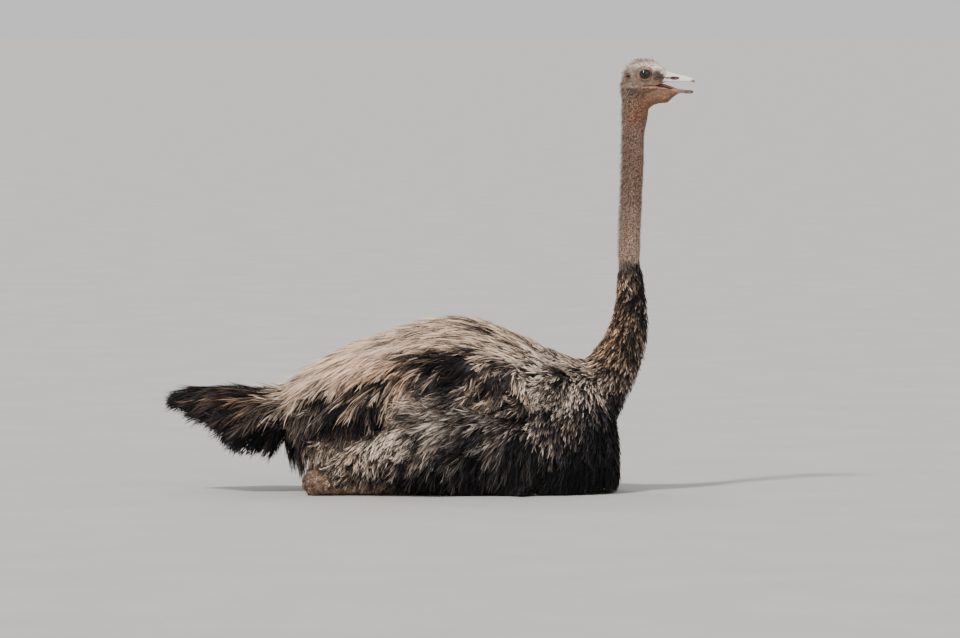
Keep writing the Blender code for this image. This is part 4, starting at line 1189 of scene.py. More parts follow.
def birdMarkingsGroup():
    tree, start, end = shaderGroup(
        "birdMarkings", {"Position": ("Vector", None)},
        {"Color": ("Color", None), "Feathered": ("Float", None)},
    )
    place, tones = start.outputs["Position"], bareTones
    blur = aboutZero(tree, noise(tree, place, 55.0, 4.0))
    wobble = times(tree, blur, 0.03)
    x, z = (plus(tree, value, wobble) for value in splitPlace(tree, place))
    slant = plus(tree, x, times(tree, z, -0.45))
    front, below = (slant, 0.062, 0.102), (z, 1.136, 1.122)
    blotch = (noise(tree, place, 95.0, 3.0), 0.5, 0.68)
    marks = [
        (((z, 0.86, 0.68),), 1.0, tones["lowNeck"]),
        (((z, 1.045, 1.085),), 1.0, tones["nape"]),
        ((front, below, (z, 0.99, 1.05)), 1.0, tones["throat"]),
        ((front, below, (x, 0.585, 0.63), (z, 1.06, 1.09)), 1.0, tones["jaw"]),
        (((z, 1.158, 1.182),), 1.0, tones["crown"]),
        ((blotch, (z, 1.02, 1.06)), 0.6, tones["blotch"]),
    ]
    for cx, cz, halfX, halfZ, soft, strength, tone in headSpots:
        far = farFrom(tree, place, (cx, cz), (1 / halfX, 1 / halfZ))
        far = plus(tree, far, times(tree, blur, soft))
        marks.append((((far, 1 + soft * 0.5, 1 - soft * 0.5),), strength, tone))
    colour = markedOn(tree, (*tones["neck"], 1), marks)
    mottle = ((0.3, (0.6, 0.57, 0.54)), (0.7, (1.36, 1.34, 1.32)))
    shade = colourRamp(tree, noise(tree, place, 230.0, 3.0), mottle)
    colour = blendColours(tree, 1.0, colour, shade, "MULTIPLY")
    # rows of papillae round the neck and nape, pale on dark
    squeezed = stretched(tree, place, (210.0, 210.0, 165.0))
    cells = addNode(tree, "TexVoronoi", Vector=squeezed, Scale=1.0, Randomness=0.75).outputs["Distance"]
    rings = ((0.18, (1.95, 1.85, 1.75)), (0.45, (0.84, 0.78, 0.73)), (0.72, (0.36, 0.3, 0.26)))
    dotted = blendColours(tree, 1.0, colour, colourRamp(tree, cells, rings), "MULTIPLY")
    bald = times(tree, softBand(tree, x, 0.6, 0.575), softBand(tree, z, 1.15, 1.11))
    bald = maths(tree, "MAXIMUM", bald, softBand(tree, z, 1.06, 1.03))
    colour = blendColours(tree, times(tree, bald, 0.85), colour, dotted)
    tree.links.new(colour, end.inputs["Color"])
    tree.links.new(softBand(tree, z, 0.648, 0.632), end.inputs["Feathered"])
    return tree


def skinGrainGroup():
    # pebbles and creases of bare skin as one height
    tree, start, end = shaderGroup(
        "skinGrain", {"Position": ("Vector", None), "Size": ("Float", 260.0), "Creases": ("Float", 0.5)},
        {"Height": ("Float", None)},
    )
    place, size = start.outputs["Position"], start.outputs["Size"]
    cells = addNode(tree, "TexVoronoi", {"feature": "SMOOTH_F1"}, Vector=place, Scale=size)
    cells = cells.outputs["Distance"]
    creased = times(tree, noise(tree, place, times(tree, size, 1.8), 5.0), start.outputs["Creases"])
    tree.links.new(plus(tree, times(tree, cells, -0.6), creased), end.inputs["Height"])
    return tree


birdMarkings = birdMarkingsGroup()
skinGrain = skinGrainGroup()


def bumpInto(tree, shader, height, distance, strength):
    bump = addNode(tree, "Bump", Height=height, Distance=distance, Strength=strength)
    tree.links.new(bump.outputs["Normal"], shader.inputs["Normal"])


def skinMaterial():
    material, tree, shader = plainMaterial("bareSkin", 0.6, SpecularIORLevel=0.4)
    place = objectPlace(tree)
    # the skin under the plumes takes one dark plume tone: partly the plumage's own dark, partly painted
    # shade for the gaps between the plumes
    under = useGroup(tree, plumeColour, Tone=0.2, Warmth=0.4, Fleck=0.5, Spread=0.0, Along=0.62, PaleTip=0.0)
    bare = useGroup(tree, birdMarkings, Position=place)
    colour = blendColours(tree, bare["Feathered"], bare["Color"], under["Color"])
    tree.links.new(colour, shader.inputs["Base Color"])
    grain = useGroup(tree, skinGrain, Position=place, Size=310.0, Creases=0.6)
    bumpInto(tree, shader, grain["Height"], 0.003, 1.0)
    return material


skin.data.materials.append(skinMaterial())
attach(skin, bird)
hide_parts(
    "head", "jaw", "ear_left", "ear_right", "neck_lower", "neck_middle", "neck_upper", "trunk", "tail",
    "wing_left", "wing_right", "thigh_left", "thigh_right",
)


# down, side-view places as for the plumes: x, z, length, cover, how far it stands up
downPosts = (
    (0.52, 0.635, 0.007, 1.0, 0.5), (0.52, 0.67, 0.0095, 1.0, 0.7), (0.522, 0.74, 0.0095, 1.0, 0.85),
    (0.526, 0.82, 0.009, 1.0, 0.9), (0.53, 0.92, 0.0086, 1.0, 0.9), (0.532, 1.01, 0.008, 1.0, 0.85),
    (0.53, 1.075, 0.008, 1.0, 0.8), (0.59, 0.64, 0.0062, 1.0, 0.35), (0.588, 0.72, 0.007, 1.0, 0.5),
    (0.59, 0.82, 0.0064, 0.95, 0.5), (0.592, 0.92, 0.0058, 0.9, 0.5), (0.59, 1.01, 0.0054, 0.85, 0.45),
    (0.556, 1.08, 0.0062, 1.0, 0.5), (0.533, 1.13, 0.009, 1.0, 0.65), (0.545, 1.18, 0.0125, 1.0, 0.85),
    (0.57, 1.196, 0.014, 1.0, 0.95), (0.595, 1.198, 0.014, 1.0, 0.95), (0.62, 1.193, 0.012, 1.0, 0.85),
    (0.642, 1.182, 0.008, 0.9, 0.65), (0.655, 1.174, 0.004, 0.5, 0.4), (0.56, 1.15, 0.0065, 1.0, 0.35),
    (0.57, 1.12, 0.005, 0.95, 0.3), (0.59, 1.18, 0.008, 1.0, 0.45), (0.62, 1.176, 0.0055, 0.95, 0.4),
    (0.6, 1.14, 0.003, 0.6, 0.2), (0.635, 1.155, 0.0024, 0.3, 0.15), (0.61, 1.11, 0.003, 0.35, 0.2),
    (0.6, 1.07, 0.0036, 0.4, 0.25), (0.65, 1.105, 0.0022, 0.25, 0.2), (0.575, 1.05, 0.0048, 0.65, 0.32),
)
downSizes = {
    "Spacing": 0.0017, "Density": 300000.0, "Width": 0.03, "Scatter": 0.28, "Seed": 12,
    "reach": 0.016, "from": 0.6,
}


def downTree():
    tree = bpy.data.node_groups.new("downBristles", "GeometryNodeTree")
    kinds = {"Geometry": "Geometry", "Spacing": "Float", "Density": "Float", "Width": "Float",
             "Scatter": "Float", "Seed": "Int", "Material": "Material"}
    for label, kind in kinds.items():
        tree.interface.new_socket(label, in_out="INPUT", socket_type="NodeSocket" + kind)
    tree.interface.new_socket("Geometry", in_out="OUTPUT", socket_type="NodeSocketGeometry")
    given = tree.nodes.new("NodeGroupInput").outputs
    end = tree.nodes.new("NodeGroupOutput").inputs

    def made(kind, settings=None, **inputs):
        return addNode(tree, kind, settings, **inputs).outputs

    def read(name, kind="FLOAT"):
        return made("GeometryNodeInputNamedAttribute", {"data_type": kind}, Name=name)["Attribute"]

    def stored(geometry, name, value, kind="FLOAT", domain="POINT"):
        return made("GeometryNodeStoreNamedAttribute", {"data_type": kind, "domain": domain},
                    Geometry=geometry, Name=name, Value=value)[0]

    def scaled(vector, share):
        return made("VectorMath", {"operation": "SCALE"}, i0=vector, Scale=share)[0]

    def summed(first, second):
        return made("VectorMath", {"operation": "ADD"}, i0=first, i1=second)[0]

    # one bristle: a thin three-sided cone that leans over as it rises
    cone = made("GeometryNodeMeshCone", {"fill_type": "NONE"}, Vertices=3, SideSegments=2,
                RadiusTop=0.009, RadiusBottom=given["Width"], Depth=1.0)["Mesh"]
    height = made("SeparateXYZ", Vector=made("GeometryNodeInputPosition")[0])["Z"]
    lean = made("CombineXYZ", X=times(tree, maths(tree, "POWER", height, 2.0), 0.38))[0]
    bent = made("GeometryNodeSetPosition", Geometry=cone, Offset=lean)[0]
    bristle = stored(bent, "along", height)
    scattered = made("GeometryNodeDistributePointsOnFaces", {"distribute_method": "POISSON"},
                     Mesh=given["Geometry"], DistanceMin=given["Spacing"], DensityMax=given["Density"],
                     DensityFactor=read("cover"), Seed=given["Seed"])
    chance = made("FunctionNodeRandomValue", {"data_type": "FLOAT_VECTOR"},
                  i0=(-1.0, -1.0, -1.0), i1=(1.0, 1.0, 1.0), Seed=given["Seed"])[0]
    stand, lay = read("stand"), read("lay", "FLOAT_VECTOR")
    lying = scaled(lay, maths(tree, "SUBTRACT", 1.0, stand))
    way = summed(summed(scaled(scattered["Normal"], stand), lying), scaled(chance, given["Scatter"]))
    turn = made("FunctionNodeAlignRotationToVector", {"axis": "Z"}, Vector=way)[0]
    turn = made("FunctionNodeAlignRotationToVector", {"axis": "X", "pivot_axis": "Z"},
                Rotation=turn, Vector=lay)[0]
    size = made("FunctionNodeRandomValue", {"data_type": "FLOAT"}, i2=0.55, i3=1.3, Seed=given["Seed"])[1]
    length = times(tree, read("reach"), size)
    thick = times(tree, length, plus(tree, 0.65, stand))
    fleck = made("FunctionNodeRandomValue", {"data_type": "FLOAT"}, Seed=7)[1]
    placed = made("GeometryNodeInstanceOnPoints", Points=stored(scattered["Points"], "fleck", fleck),
                  Instance=bristle, Rotation=turn, Scale=made("CombineXYZ", X=thick, Y=thick, Z=length)[0])
    real = made("GeometryNodeRealizeInstances", Geometry=placed[0])[0]
    patch = scaled(made("CombineXYZ", X=0.5, Y=read("along"))[0], 0.003)
    baked = stored(real, "OFBake", summed(read("rootPlace", "FLOAT_VECTOR"), patch), "FLOAT2", "CORNER")
    dressed = made("GeometryNodeSetMaterial", Geometry=baked, Material=given["Material"])[0]
    tree.links.new(dressed, end[0])
    return tree


def downMaterial():
    material, tree, shader = plainMaterial("paleDown", 0.75, SpecularIORLevel=0.3)
    place = objectPlace(tree)
    bare = useGroup(tree, birdMarkings, Position=place)
    fleck, far = namedValue(tree, "fleck"), namedValue(tree, "along")
    _, height = splitPlace(tree, place)
    colour = markedOn(tree, bare["Color"], (
        (((fleck, 0.5, 0.9),), 0.75, (0.7, 0.6, 0.52)),  # pale bristles
        (((fleck, 0.28, 0.18),), 0.85, (0.07, 0.044, 0.029)),  # dark ones
        (((far, 0.2, 0.7), (height, 1.19, 1.203)), 0.9, (0.095, 0.06, 0.036)),  # brown tips on the crown
    ))
    tree.links.new(colour, shader.inputs["Base Color"])
    return material


def downAt(points):
    # length, cover and stand at these points
    posts = np.array(downPosts)
    gap = (points[:, None, 0] - posts[:, 0]) ** 2 + (points[:, None, 2] - posts[:, 1]) ** 2
    gap -= gap.min(axis=1, keepdims=True)
    weight = np.exp(-gap / (2 * downSizes["reach"] ** 2))
    return ((weight / weight.sum(axis=1, keepdims=True)) @ posts[:, 2:]).T


def makeDown():
    # the part of the skin that carries down, with the values that the bristles read
    source = addObject("downBed", cutAt(skin.data, downSizes["from"], True))
    points, normals = pointsOf(source.data), normalsOf(source.data)
    x, _, z = points.T
    reach, cover, stand = downAt(points)
    ex, _, ez = eyeSizes["centre"]
    ring = np.hypot((x - ex - 0.0015) / 0.0245, (z - ez) / 0.0185)
    inMouth = (x > 0.598) & (np.abs(z - 1.13) < 0.005 + 0.1 * np.maximum(x - 0.62, 0))
    inMouth |= (x > 0.63) & (z < 1.139) & (z > 1.118)
    cover = cover * (ring > 1.0) * ~inMouth * (x < 0.652)
    cover *= smoothStep(1.0, 1.25, np.hypot((x - earPlace[0]) / 0.0045, (z - earPlace[2]) / 0.004))
    # lying down the neck and back over the head
    back = smoothStep(1.08, 1.15, z)
    lay = alongSkin(np.column_stack([-0.95 * back - 0.05, 0 * x, -1.0 + 0.62 * back]), normals)
    root = np.column_stack([unwrapPlaces(points), 0 * x])
    giveValues(source.data, reach=reach, cover=cover, stand=stand, lay=lay, rootPlace=root)
    modifier = source.modifiers.new("down", "NODES")
    modifier.node_group = downTree()
    given = {**downSizes, "Material": downMaterial()}
    for socket in modifier.node_group.interface.items_tree:
        if socket.in_out == "INPUT" and socket.name in given:
            modifier[socket.identifier] = given[socket.name]
    down = addObject("down", evaluatedCopy(source, "down"))
    bpy.data.objects.remove(source)
    down.data.shade_smooth()
    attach(down, bird)
    print("down:", sum(len(p.vertices) - 2 for p in down.data.polygons), "triangles")


makeDown()


# the bill's halves: x, top, bottom, half width
upperBillRows = (
    (0.644, 1.1752, 1.1404, 0.0216), (0.65, 1.1738, 1.1396, 0.0238), (0.66, 1.1684, 1.1398, 0.0248),
    (0.672, 1.1632, 1.1402, 0.0234), (0.688, 1.159, 1.1408, 0.0214), (0.704, 1.1558, 1.1415, 0.0188),
    (0.716, 1.1526, 1.1412, 0.0162), (0.724, 1.1498, 1.1402, 0.0134), (0.729, 1.146, 1.139, 0.01),
    (0.7318, 1.1434, 1.1386, 0.0046),
)
lowerBillRows = (
    (0.664, 1.119, 1.104, 0.015), (0.674, 1.121, 1.1025, 0.0177), (0.684, 1.1208, 1.1052, 0.0175),
    (0.693, 1.1195, 1.1085, 0.0164), (0.71, 1.117, 1.1075, 0.0141), (0.722, 1.1162, 1.1078, 0.0112),
    (0.7265, 1.115, 1.1092, 0.0074), (0.7285, 1.1138, 1.1108, 0.0034),
)
nostril = {"place": (0.676, 1.1508), "half": (0.0138, 0.0044), "tilt": -0.12, "depth": 0.0036, "rim": 0.0005}
billSizes = {"nail": 0.0012, "groove": 0.0009, "lip": 0.0005}


def upperRing(x, top, bottom, half, c, s):
    # a full section at the root, then a ridged top with a nail, the nostril's pit and a groove
    tall, above = top - bottom, s >= 0
    ridge = smoothStep(0.652, 0.69, x)
    across = np.where(above, half * np.sign(c) * np.abs(c) ** (0.5 + 0.45 * ridge), half * 0.97 * c)
    roof = bottom + tall * np.abs(s) ** (1.0 + 0.12 * ridge)
    height = np.where(above, roof, bottom + 0.34 * tall * np.abs(s) ** 0.8)
    nail = billSizes["nail"] * (1 - smoothStep(0.34, 0.42, np.abs(across) / half)) * (s > 0)
    height = height + nail * smoothStep(0.655, 0.675, x)
    dx = x - nostril["place"][0]
    dz = height - nostril["place"][1] - nostril["tilt"] * dx
    ring = np.hypot(dx / nostril["half"][0], dz / nostril["half"][1])
    pit = nostril["depth"] * (1 - smoothStep(0.55, 1.05, ring)) - nostril["rim"] * hump(ring, 1.25, 0.25)
    inReach = smoothStep(0.684, 0.692, x) * (1 - smoothStep(0.705, 0.722, x))
    pit = pit + billSizes["groove"] * hump(dz, 0.0, 0.0011) * inReach
    return np.where(s > 0.05, np.sign(across) * (np.abs(across) - pit), across), height


def lowerRing(_, top, bottom, half, c, s):
    tall = top - bottom
    across = half * np.sign(c) * np.abs(c) ** 0.9
    height = np.where(s >= 0, top - 0.42 * tall * np.abs(s) ** 0.9, top - tall * np.abs(s) ** 0.8)
    return across, height + billSizes["lip"] * hump(np.abs(across) / half, 1.0, 0.12)


def billRings(rows, section, count=150, around=96):
    turns = turnsOf(around)
    rings = []
    for row in flowing(rows, eased(rows[0][0], rows[-1][0], count)):
        across, height = section(*row, np.cos(turns), np.sin(turns))
        rings.append(np.column_stack([np.full(around, row[0]), across, height]))
    return rings


# the tongue and lining between the halves: x, y, z, half side, half depth
tongueLine = (
    (0.608, 0, 1.126, 0.01, 0.003), (0.62, 0, 1.129, 0.0165, 0.0042), (0.632, 0, 1.13, 0.0175, 0.0052),
    (0.644, 0, 1.1285, 0.0165, 0.0062), (0.656, 0, 1.126, 0.0145, 0.0056),
    (0.67, 0, 1.122, 0.0115, 0.0046), (0.682, 0, 1.1185, 0.0085, 0.0036),
    (0.69, 0, 1.116, 0.0045, 0.0022),
)


def tongueMaterial():
    material, tree, shader = plainMaterial("wetTongue", 0.32, SpecularIORLevel=0.5)
    place = objectPlace(tree)
    x, z = splitPlace(tree, place)
    # painted shade: the tongue and lining are near black low down between the bill's halves and turn red
    # higher up
    wet = softBand(tree, plus(tree, z, times(tree, x, 0.3)), 1.3195, 1.3262)
    shadeThenReds = ((0.0, (0.026, 0.011, 0.009)), (0.5, (0.08, 0.03, 0.02)), (0.9, (0.4, 0.18, 0.105)))
    tree.links.new(colourRamp(tree, wet, shadeThenReds), shader.inputs["Base Color"])
    bumpInto(tree, shader, noise(tree, place, 500.0, 3.0), 0.0006, 0.6)
    return material


def makeTongue():
    tongue = addObject("tongue", bentLoft(tongueLine, 70, 40, name="tongue"))
    tongue.data.materials.append(tongueMaterial())
    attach(tongue, bird)
    print("bill: tongue and lining")


def hornMaterial():
    material, tree, shader = plainMaterial("paleHorn", 0.42, SpecularIORLevel=0.5, CoatWeight=0.15)
    place = objectPlace(tree)
    x, z = splitPlace(tree, place)
    streak = noise(tree, stretched(tree, place, (60.0, 260.0, 260.0)), 1.0, 4.0)
    stain = noise(tree, place, 190.0, 5.0, Roughness=0.65)
    worn = plus(tree, x, times(tree, aboutZero(tree, streak), 0.006))
    hole = farFrom(tree, place, (0.676, 1.1505), (70.0, 205.0))
    slit = farFrom(tree, place, (0.656, 1.1512), (100.0, 300.0))
    slit = plus(tree, slit, times(tree, aboutZero(tree, stain), 2.2))
    spoonRim = farFrom(tree, place, (0.718, 1.112), (80.0, 250.0))
    lower = (z, 1.128, 1.122)
    pale = colourRamp(tree, streak, ((0.3, (0.8, 0.71, 0.66)), (0.65, (0.98, 0.92, 0.88))))
    brown = colourRamp(tree, streak, ((0.3, (0.26, 0.155, 0.105)), (0.7, (0.43, 0.3, 0.23))))
    colour = markedOn(tree, blendColours(tree, softBand(tree, *lower), pale, brown), (
        ((lower, (x, 0.704, 0.688)), 0.9, (0.4, 0.195, 0.135)),  # rear of the lower half
        (((z, 1.1445, 1.1415), (z, 1.13, 1.134)), 0.6, (0.3, 0.165, 0.125)),  # edge of the upper half
        (((worn, 0.717, 0.727), (z, 1.1485, 1.143)), 0.92, (0.06, 0.042, 0.036)),  # its dark tip
        # painted shade in the nostril's opening
        (((hole, 1.12, 0.84),), 1.0, (0.02, 0.011, 0.01)),  # nostril
        (((hole, 0.74, 0.52), (x, 0.673, 0.68)), 0.9, (0.2, 0.03, 0.034)),
        (((stain, 0.5, 0.7), (z, 1.174, 1.146)), 0.4, (0.4, 0.29, 0.225)),
        (((worn, 0.664, 0.652), (z, 1.128, 1.134)), 0.4, (0.42, 0.345, 0.31)),  # root
        # painted shade of the slit running back from the nostril
        (((slit, 1.35, 0.65),), 0.9, (0.075, 0.046, 0.04)),  # streak behind the nostril
        ((lower, (spoonRim, 0.45, 0.85), (x, 0.7, 0.712)), 0.85, (0.085, 0.055, 0.042)),
    ))
    tree.links.new(colour, shader.inputs["Base Color"])
    bumpInto(tree, shader, streak, 0.0005, 0.6)
    return material


def makeBill():
    horn = hornMaterial()
    halves = (
        ("billUpper", upperBillRows, upperRing, "bill_upper"),
        ("billLower", lowerBillRows, lowerRing, "bill_lower"),
    )
    for name, rows, section, node in halves:
        piece = addObject(name, closedLoft(billRings(rows, section), name))
        piece.data.materials.append(horn)
        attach(piece, bird)
        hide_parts(node)
    print("bill: two halves")


makeBill()
makeTongue()


def eyeMaterial():
    material, tree, shader = plainMaterial(
        "wetEye", 0.22, SpecularIORLevel=0.2, CoatWeight=0.65, CoatRoughness=0.04
    )
    far, turn = namedValue(tree, "fromPupil"), namedValue(tree, "turn")
    spokes = addNode(tree, "CombineXYZ", X=times(tree, turn, 9.0), Y=times(tree, far, 90.0)).outputs[0]
    fibres = noise(tree, spokes, 4.0, 4.0)
    iris = colourRamp(tree, fibres, ((0.3, (0.004, 0.003, 0.002)), (0.72, (0.03, 0.015, 0.009))))
    colour = markedOn(tree, iris, (
        (((far, 0.0076, 0.007),), 1.0, (0.0015, 0.0015, 0.002)),  # pupil
        (((far, 0.0116, 0.0126),), 1.0, (0.012, 0.008, 0.007)),  # rim of the iris
        (((far, 0.0132, 0.015),), 1.0, (0.1, 0.07, 0.058)),  # white
    ))
    tree.links.new(colour, shader.inputs["Base Color"])
    return material


def eyeBall(side):
    # rings about an axis that points out and a little forward, with the cornea's bulge
    centre = np.array(eyeSizes["centre"]) * (1, side, 1)
    axis = unit(np.array([0.1, side, 0.02]))
    upward = unit(np.cross(axis, (1, 0, 0)) * side)
    ahead = np.cross(upward, axis)
    turns = turnsOf(72)
    flat = np.outer(np.cos(turns), ahead) + np.outer(np.sin(turns), upward)
    rings, far, turned = [], [], []
    for tilt in np.linspace(0.02, np.pi - 0.02, 60):
        radius = eyeSizes["radius"] + eyeSizes["bulge"] * (1 - smoothStep(0.35, 0.72, tilt))
        rings.append(centre + radius * (np.cos(tilt) * axis + np.sin(tilt) * flat))
        far += [radius * math.sin(tilt) if tilt < np.pi / 2 else radius] * len(turns)
        turned += list(np.abs(turns - np.pi))
    mesh = closedLoft(rings, "eye")
    giveValues(mesh, fromPupil=far + [0.0, radius], turn=turned + [0.0, 0.0])
    return mesh


def lidLine(side, grow, lift, count=120, corner=0.003):
    # a closed line round the eye on the eyeball's own surface, with a point at its front
    ex, ey, ez = eyeSizes["centre"]
    turns = turnsOf(count)
    c, s = np.cos(turns), np.sin(turns)
    x = ex + 0.0008 + grow * eyeSizes["openLength"] * c + corner * hump(turns, 0, 0.35)
    x = x + corner * hump(turns, 2 * np.pi, 0.35) - 0.4 * corner * hump(turns, np.pi, 0.3)
    z = ez + grow * eyeSizes["openHeight"] * np.sign(s) * np.abs(s) ** 0.92
    deep = np.maximum(eyeSizes["radius"] ** 2 - (x - ex) ** 2 - (z - ez) ** 2, 0)
    y = side * (ey + np.sqrt(deep) + lift)
    return np.column_stack([x, y, z])


def ringTube(line, thickness, around=12):
    # a closed tube round a closed line
    ahead = unit(np.roll(line, -1, axis=0) - np.roll(line, 1, axis=0))
    outward = unit(np.cross(ahead, np.cross(line - line.mean(axis=0), ahead)))
    third = np.cross(ahead, outward)
    turns = turnsOf(around)[None, :, None]
    width = thickness[:, None, None]
    rings = line[:, None] + width * (outward[:, None] * np.cos(turns) + third[:, None] * np.sin(turns))
    count = len(line)
    i, j = np.meshgrid(np.arange(count), np.arange(around), indexing="ij")
    here, beyond = i * around, (i + 1) % count * around
    nextJ = (j + 1) % around
    faces = np.stack([here + j, beyond + j, beyond + nextJ, here + nextJ], axis=-1)
    return rings.reshape(-1, 3), faces.reshape(-1, 4)


def taperedHairs(roots, ways, curls, lengths, width, steps):
    # three-sided hairs that bend from their own way towards a curl; returns points and triangles
    share = np.linspace(0, 1, steps)
    ways, curls = unit(ways), unit(curls)
    bend = (curls - ways)[:, None] * (share**2)[None, :, None] * 0.5
    line = roots[:, None] + lengths[:, None, None] * (ways[:, None] * share[None, :, None] + bend)
    first = unit(np.cross(ways, curls) + 1e-6)
    second = np.cross(ways, first)
    turns = (np.arange(3) * 2 * np.pi / 3)[None, :, None]
    ring = first[:, None] * np.cos(turns) + second[:, None] * np.sin(turns)
    thin = (width * (1 - 0.93 * share) / 2)[None, :, None, None]
    points = line[:, :, None] + ring[:, None] * thin
    faces = []
    for k in range(steps - 1):
        for j in range(3):
            a, b = 3 * k + j, 3 * k + (j + 1) % 3
            faces += [(a, b, b + 3), (a, b + 3, a + 3)]
    faces += [(0, 2, 1), (3 * steps - 3, 3 * steps - 2, 3 * steps - 1)]
    start = (np.arange(len(roots)) * steps * 3)[:, None, None]
    return points.reshape(-1, 3), (start + np.array(faces)[None]).reshape(-1, 3)


def hairPlaces(points, steps):
    # a small patch for every hair at its root's place
    roots = np.repeat(points[:: steps * 3], steps * 3, axis=0)
    patch = np.column_stack([np.tile((0.0, 0.5, 1.0), steps), np.repeat(np.linspace(0, 1, steps), 3)])
    return unwrapPlaces(roots) + 0.003 * (np.tile(patch, (len(points) // len(patch), 1)) - 0.5)


def joinArrays(parts):
    points, faces, start = [], [], 0
    for own, ownFaces in parts:
        points.append(own)
        faces.append(ownFaces + start)
        start += len(own)
    return np.concatenate(points), np.concatenate(faces)


lashSizes = {
    "upper": {"count": 26, "low": 0.35, "high": 2.75, "length": 0.0125, "rise": 0.75},
    "lower": {"count": 18, "low": 3.6, "high": 5.75, "length": 0.0048, "rise": -0.55},
}
hairWidths = {"lash": 0.00055, "ear": 0.0006}


def lashesOf(side, rng):
    parts = []
    line = lidLine(side, 1.04, 0.0014, 360)
    for row in lashSizes.values():
        count, low, high = row["count"], row["low"], row["high"]
        turns = np.linspace(low, high, count) + rng.normal(0, 0.02, count)
        roots = line[(turns / (2 * np.pi) * len(line)).astype(int) % len(line)]
        spread, one = np.cos(turns), np.ones(count)
        ways = np.column_stack([spread * 0.9, side * one, row["rise"] * 0.4 * one])
        ways = ways + rng.normal(0, 0.08, ways.shape)
        curls = np.column_stack([spread - 0.25, side * 0.45 * one, row["rise"] * one])
        middle = 0.6 + 0.4 * np.sin((turns - low) / (high - low) * np.pi)
        lengths = row["length"] * middle * rng.uniform(0.85, 1.1, count)
        parts.append(taperedHairs(roots, ways, curls, lengths, hairWidths["lash"], 7))
    return joinArrays(parts)


def earBristles(side, rng, count=42):
    turns = rng.uniform(0, 2 * np.pi, count)
    c, s, one = np.cos(turns), np.sin(turns), np.ones(count)
    x, y, z = earPlace
    roots = np.column_stack([x + 0.0052 * c, side * y * one, z + 0.0045 * s])
    ways = np.column_stack([-0.2 * c - 0.3, side * 0.9 * one, -0.2 * s - 0.2])
    curls = np.column_stack([-0.9 * one, side * 0.25 * one, rng.normal(-0.35, 0.25, count)])
    ways = ways + rng.normal(0, 0.15, ways.shape)
    return taperedHairs(roots, ways, curls, rng.uniform(0.004, 0.0085, count), hairWidths["ear"], 5)


def makeEyes():
    eye = eyeMaterial()
    lash, _, _ = plainMaterial("darkLash", 0.45, BaseColor=(0.012, 0.009, 0.008, 1))
    brown, _, _ = plainMaterial("earBristle", 0.7, BaseColor=(0.09, 0.045, 0.022, 1))
    lid, tree, shader = plainMaterial("lidRim", 0.38, SpecularIORLevel=0.5)
    folds = ((0.35, (0.16, 0.09, 0.07)), (0.65, (0.36, 0.225, 0.175)))
    colour = colourRamp(tree, noise(tree, objectPlace(tree), 420.0, 3.0), folds)
    tree.links.new(colour, shader.inputs["Base Color"])
    wet, _, _ = plainMaterial("wetRim", 0.25, BaseColor=(0.03, 0.018, 0.015, 1))
    rng = np.random.default_rng(5)
    for word, side in sides:
        ball = addObject("eyeBall_" + word, eyeBall(side))
        ball.data.materials.append(eye)
        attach(ball, bird)
        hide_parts("eye_" + word)
        wave = np.sin(turnsOf(120))
        rims = (
            ("lidEdge_", lidLine(side, 0.985, 0.0006), 0.00075 + 0.0002 * wave, wet),
            ("lidFold_", lidLine(side, 1.17, 0.0006, corner=0.0045), 0.00135 + 0.0004 * wave, lid),
        )
        for name, line, thickness, material in rims:
            rim = addObject(name + word, meshFrom(name + word, *ringTube(line, thickness)))
            rim.data.materials.append(material)
            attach(rim, bird)
        hairy = (
            ("lashes_", lashesOf(side, rng), 7, lash),
            ("earBristles_", earBristles(side, rng), 5, brown),
        )
        for name, (points, faces), steps, material in hairy:
            hairs = addObject(name + word, meshFrom(name + word, points, faces))
            giveSheet(hairs.data, hairPlaces(points, steps), faces)
            hairs.data.materials.append(material)
            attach(hairs, bird)
    print("eyes: balls, lids, lashes and ear bristles")


makeEyes()


# folded legs and feet: x, y, z, half side, half depth
legLines = {
    "shank": (
        (-0.352, 0.142, 0.034, 0.01, 0.01), (-0.342, 0.142, 0.034, 0.026, 0.028),
        (-0.318, 0.141, 0.034, 0.035, 0.0335), (-0.275, 0.138, 0.031, 0.034, 0.0305),
        (-0.22, 0.134, 0.026, 0.026, 0.0255), (-0.08, 0.128, 0.023, 0.021, 0.0225),
        (0.06, 0.122, 0.023, 0.021, 0.0225), (0.12, 0.119, 0.0235, 0.027, 0.023),
        (0.158, 0.118, 0.022, 0.025, 0.021),
    ),
    "toe_inner": (
        (0.15, 0.11, 0.021, 0.015, 0.019), (0.195, 0.106, 0.0205, 0.0185, 0.02),
        (0.24, 0.103, 0.018, 0.017, 0.0175), (0.285, 0.101, 0.018, 0.0185, 0.0175),
        (0.314, 0.1, 0.016, 0.014, 0.015),
    ),
    "toe_outer": (
        (0.15, 0.1355, 0.015, 0.007, 0.012), (0.18, 0.145, 0.014, 0.011, 0.0135),
        (0.215, 0.156, 0.013, 0.0105, 0.0125), (0.25, 0.166, 0.012, 0.011, 0.0115),
        (0.27, 0.171, 0.01, 0.007, 0.009),
    ),
    "claw_inner": (
        (0.308, 0.1, 0.015, 0.0105, 0.012), (0.345, 0.0995, 0.011, 0.0085, 0.0098),
        (0.372, 0.099, 0.0058, 0.0045, 0.005), (0.385, 0.0988, 0.003, 0.0013, 0.002),
    ),
    "claw_outer": (
        (0.266, 0.1706, 0.009, 0.005, 0.007), (0.281, 0.1748, 0.0062, 0.0038, 0.0048),
        (0.291, 0.1776, 0.003, 0.0011, 0.0018),
    ),
}


legSizes = {
    "ridge": 0.0007, "ridgeSpacing": 0.011, "callus": (0.0022, 0.0012), "callusFrom": -0.24,
    "callusTo": -0.29, "floor": 0.0004, "rings": 60, "shankRings": 110, "around": 44,
}


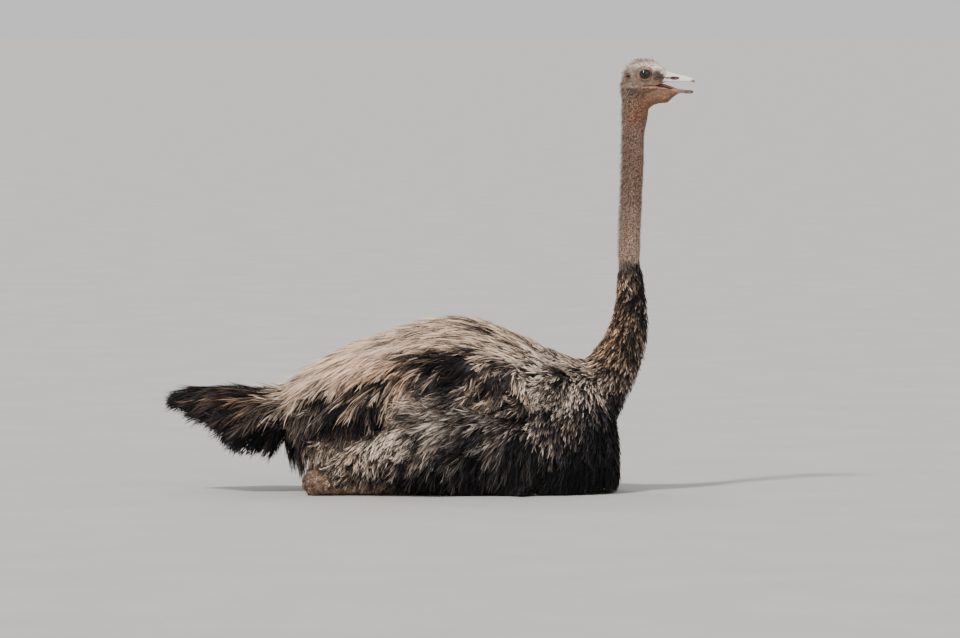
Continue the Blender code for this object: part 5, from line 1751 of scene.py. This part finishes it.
def scutedMaterial():
    material, tree, shader = plainMaterial("scutes", 0.6, SpecularIORLevel=0.4)
    place = objectPlace(tree)
    settings = {"feature": "DISTANCE_TO_EDGE"}
    edge = addNode(tree, "TexVoronoi", settings, Vector=place, Scale=125.0).outputs["Distance"]
    browns = ((0.36, (0.085, 0.052, 0.036)), (0.5, (0.25, 0.145, 0.092)), (0.64, (0.42, 0.28, 0.21)))
    colour = colourRamp(tree, noise(tree, place, 62.0, 5.0, Roughness=0.65), browns)
    colour = markedOn(tree, colour, ((((edge, 0.16, 0.02),), 0.8, (0.05, 0.032, 0.024)),))
    tree.links.new(colour, shader.inputs["Base Color"])
    bumpInto(tree, shader, softBand(tree, edge, 0.0, 0.22), 0.0012, 0.9)
    return material


def makeLegs():
    scutes = scutedMaterial()
    claws, tree, shader = plainMaterial("clawHorn", 0.4, SpecularIORLevel=0.5)
    greys = ((0.3, (0.075, 0.058, 0.048)), (0.7, (0.19, 0.15, 0.12)))
    colour = colourRamp(tree, noise(tree, objectPlace(tree), 160.0, 4.0), greys)
    tree.links.new(colour, shader.inputs["Base Color"])
    sizes = legSizes
    coarse, fine = sizes["callus"]
    for word, side in sides:
        for node, line in legLines.items():
            horn = node.startswith("claw")
            rings = sizes["shankRings" if node == "shank" else "rings"]
            mesh = bentLoft(line, rings, sizes["around"], side, node)
            points = pointsOf(mesh)
            waves = points[:, 0] * 2 * np.pi / sizes["ridgeSpacing"] + 2 * ripple(points, 0.05, 9)
            knobs = coarse * ripple(points, 0.02, 23) + fine * ripple(points, 0.009, 24)
            knobs *= smoothStep(sizes["callusFrom"], sizes["callusTo"], points[:, 0])
            if not horn:
                points = points + normalsOf(mesh) * (sizes["ridge"] * np.sin(waves) + knobs)[:, None]
            points[:, 2] = np.maximum(points[:, 2], sizes["floor"])
            setPoints(mesh, points)
            piece = addObject(node + "_skin_" + word, mesh)
            piece.data.materials.append(claws if horn else scutes)
            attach(piece, bird)
            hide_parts(node + "_" + word)
    print("legs: shanks, toes and claws")


makeLegs()
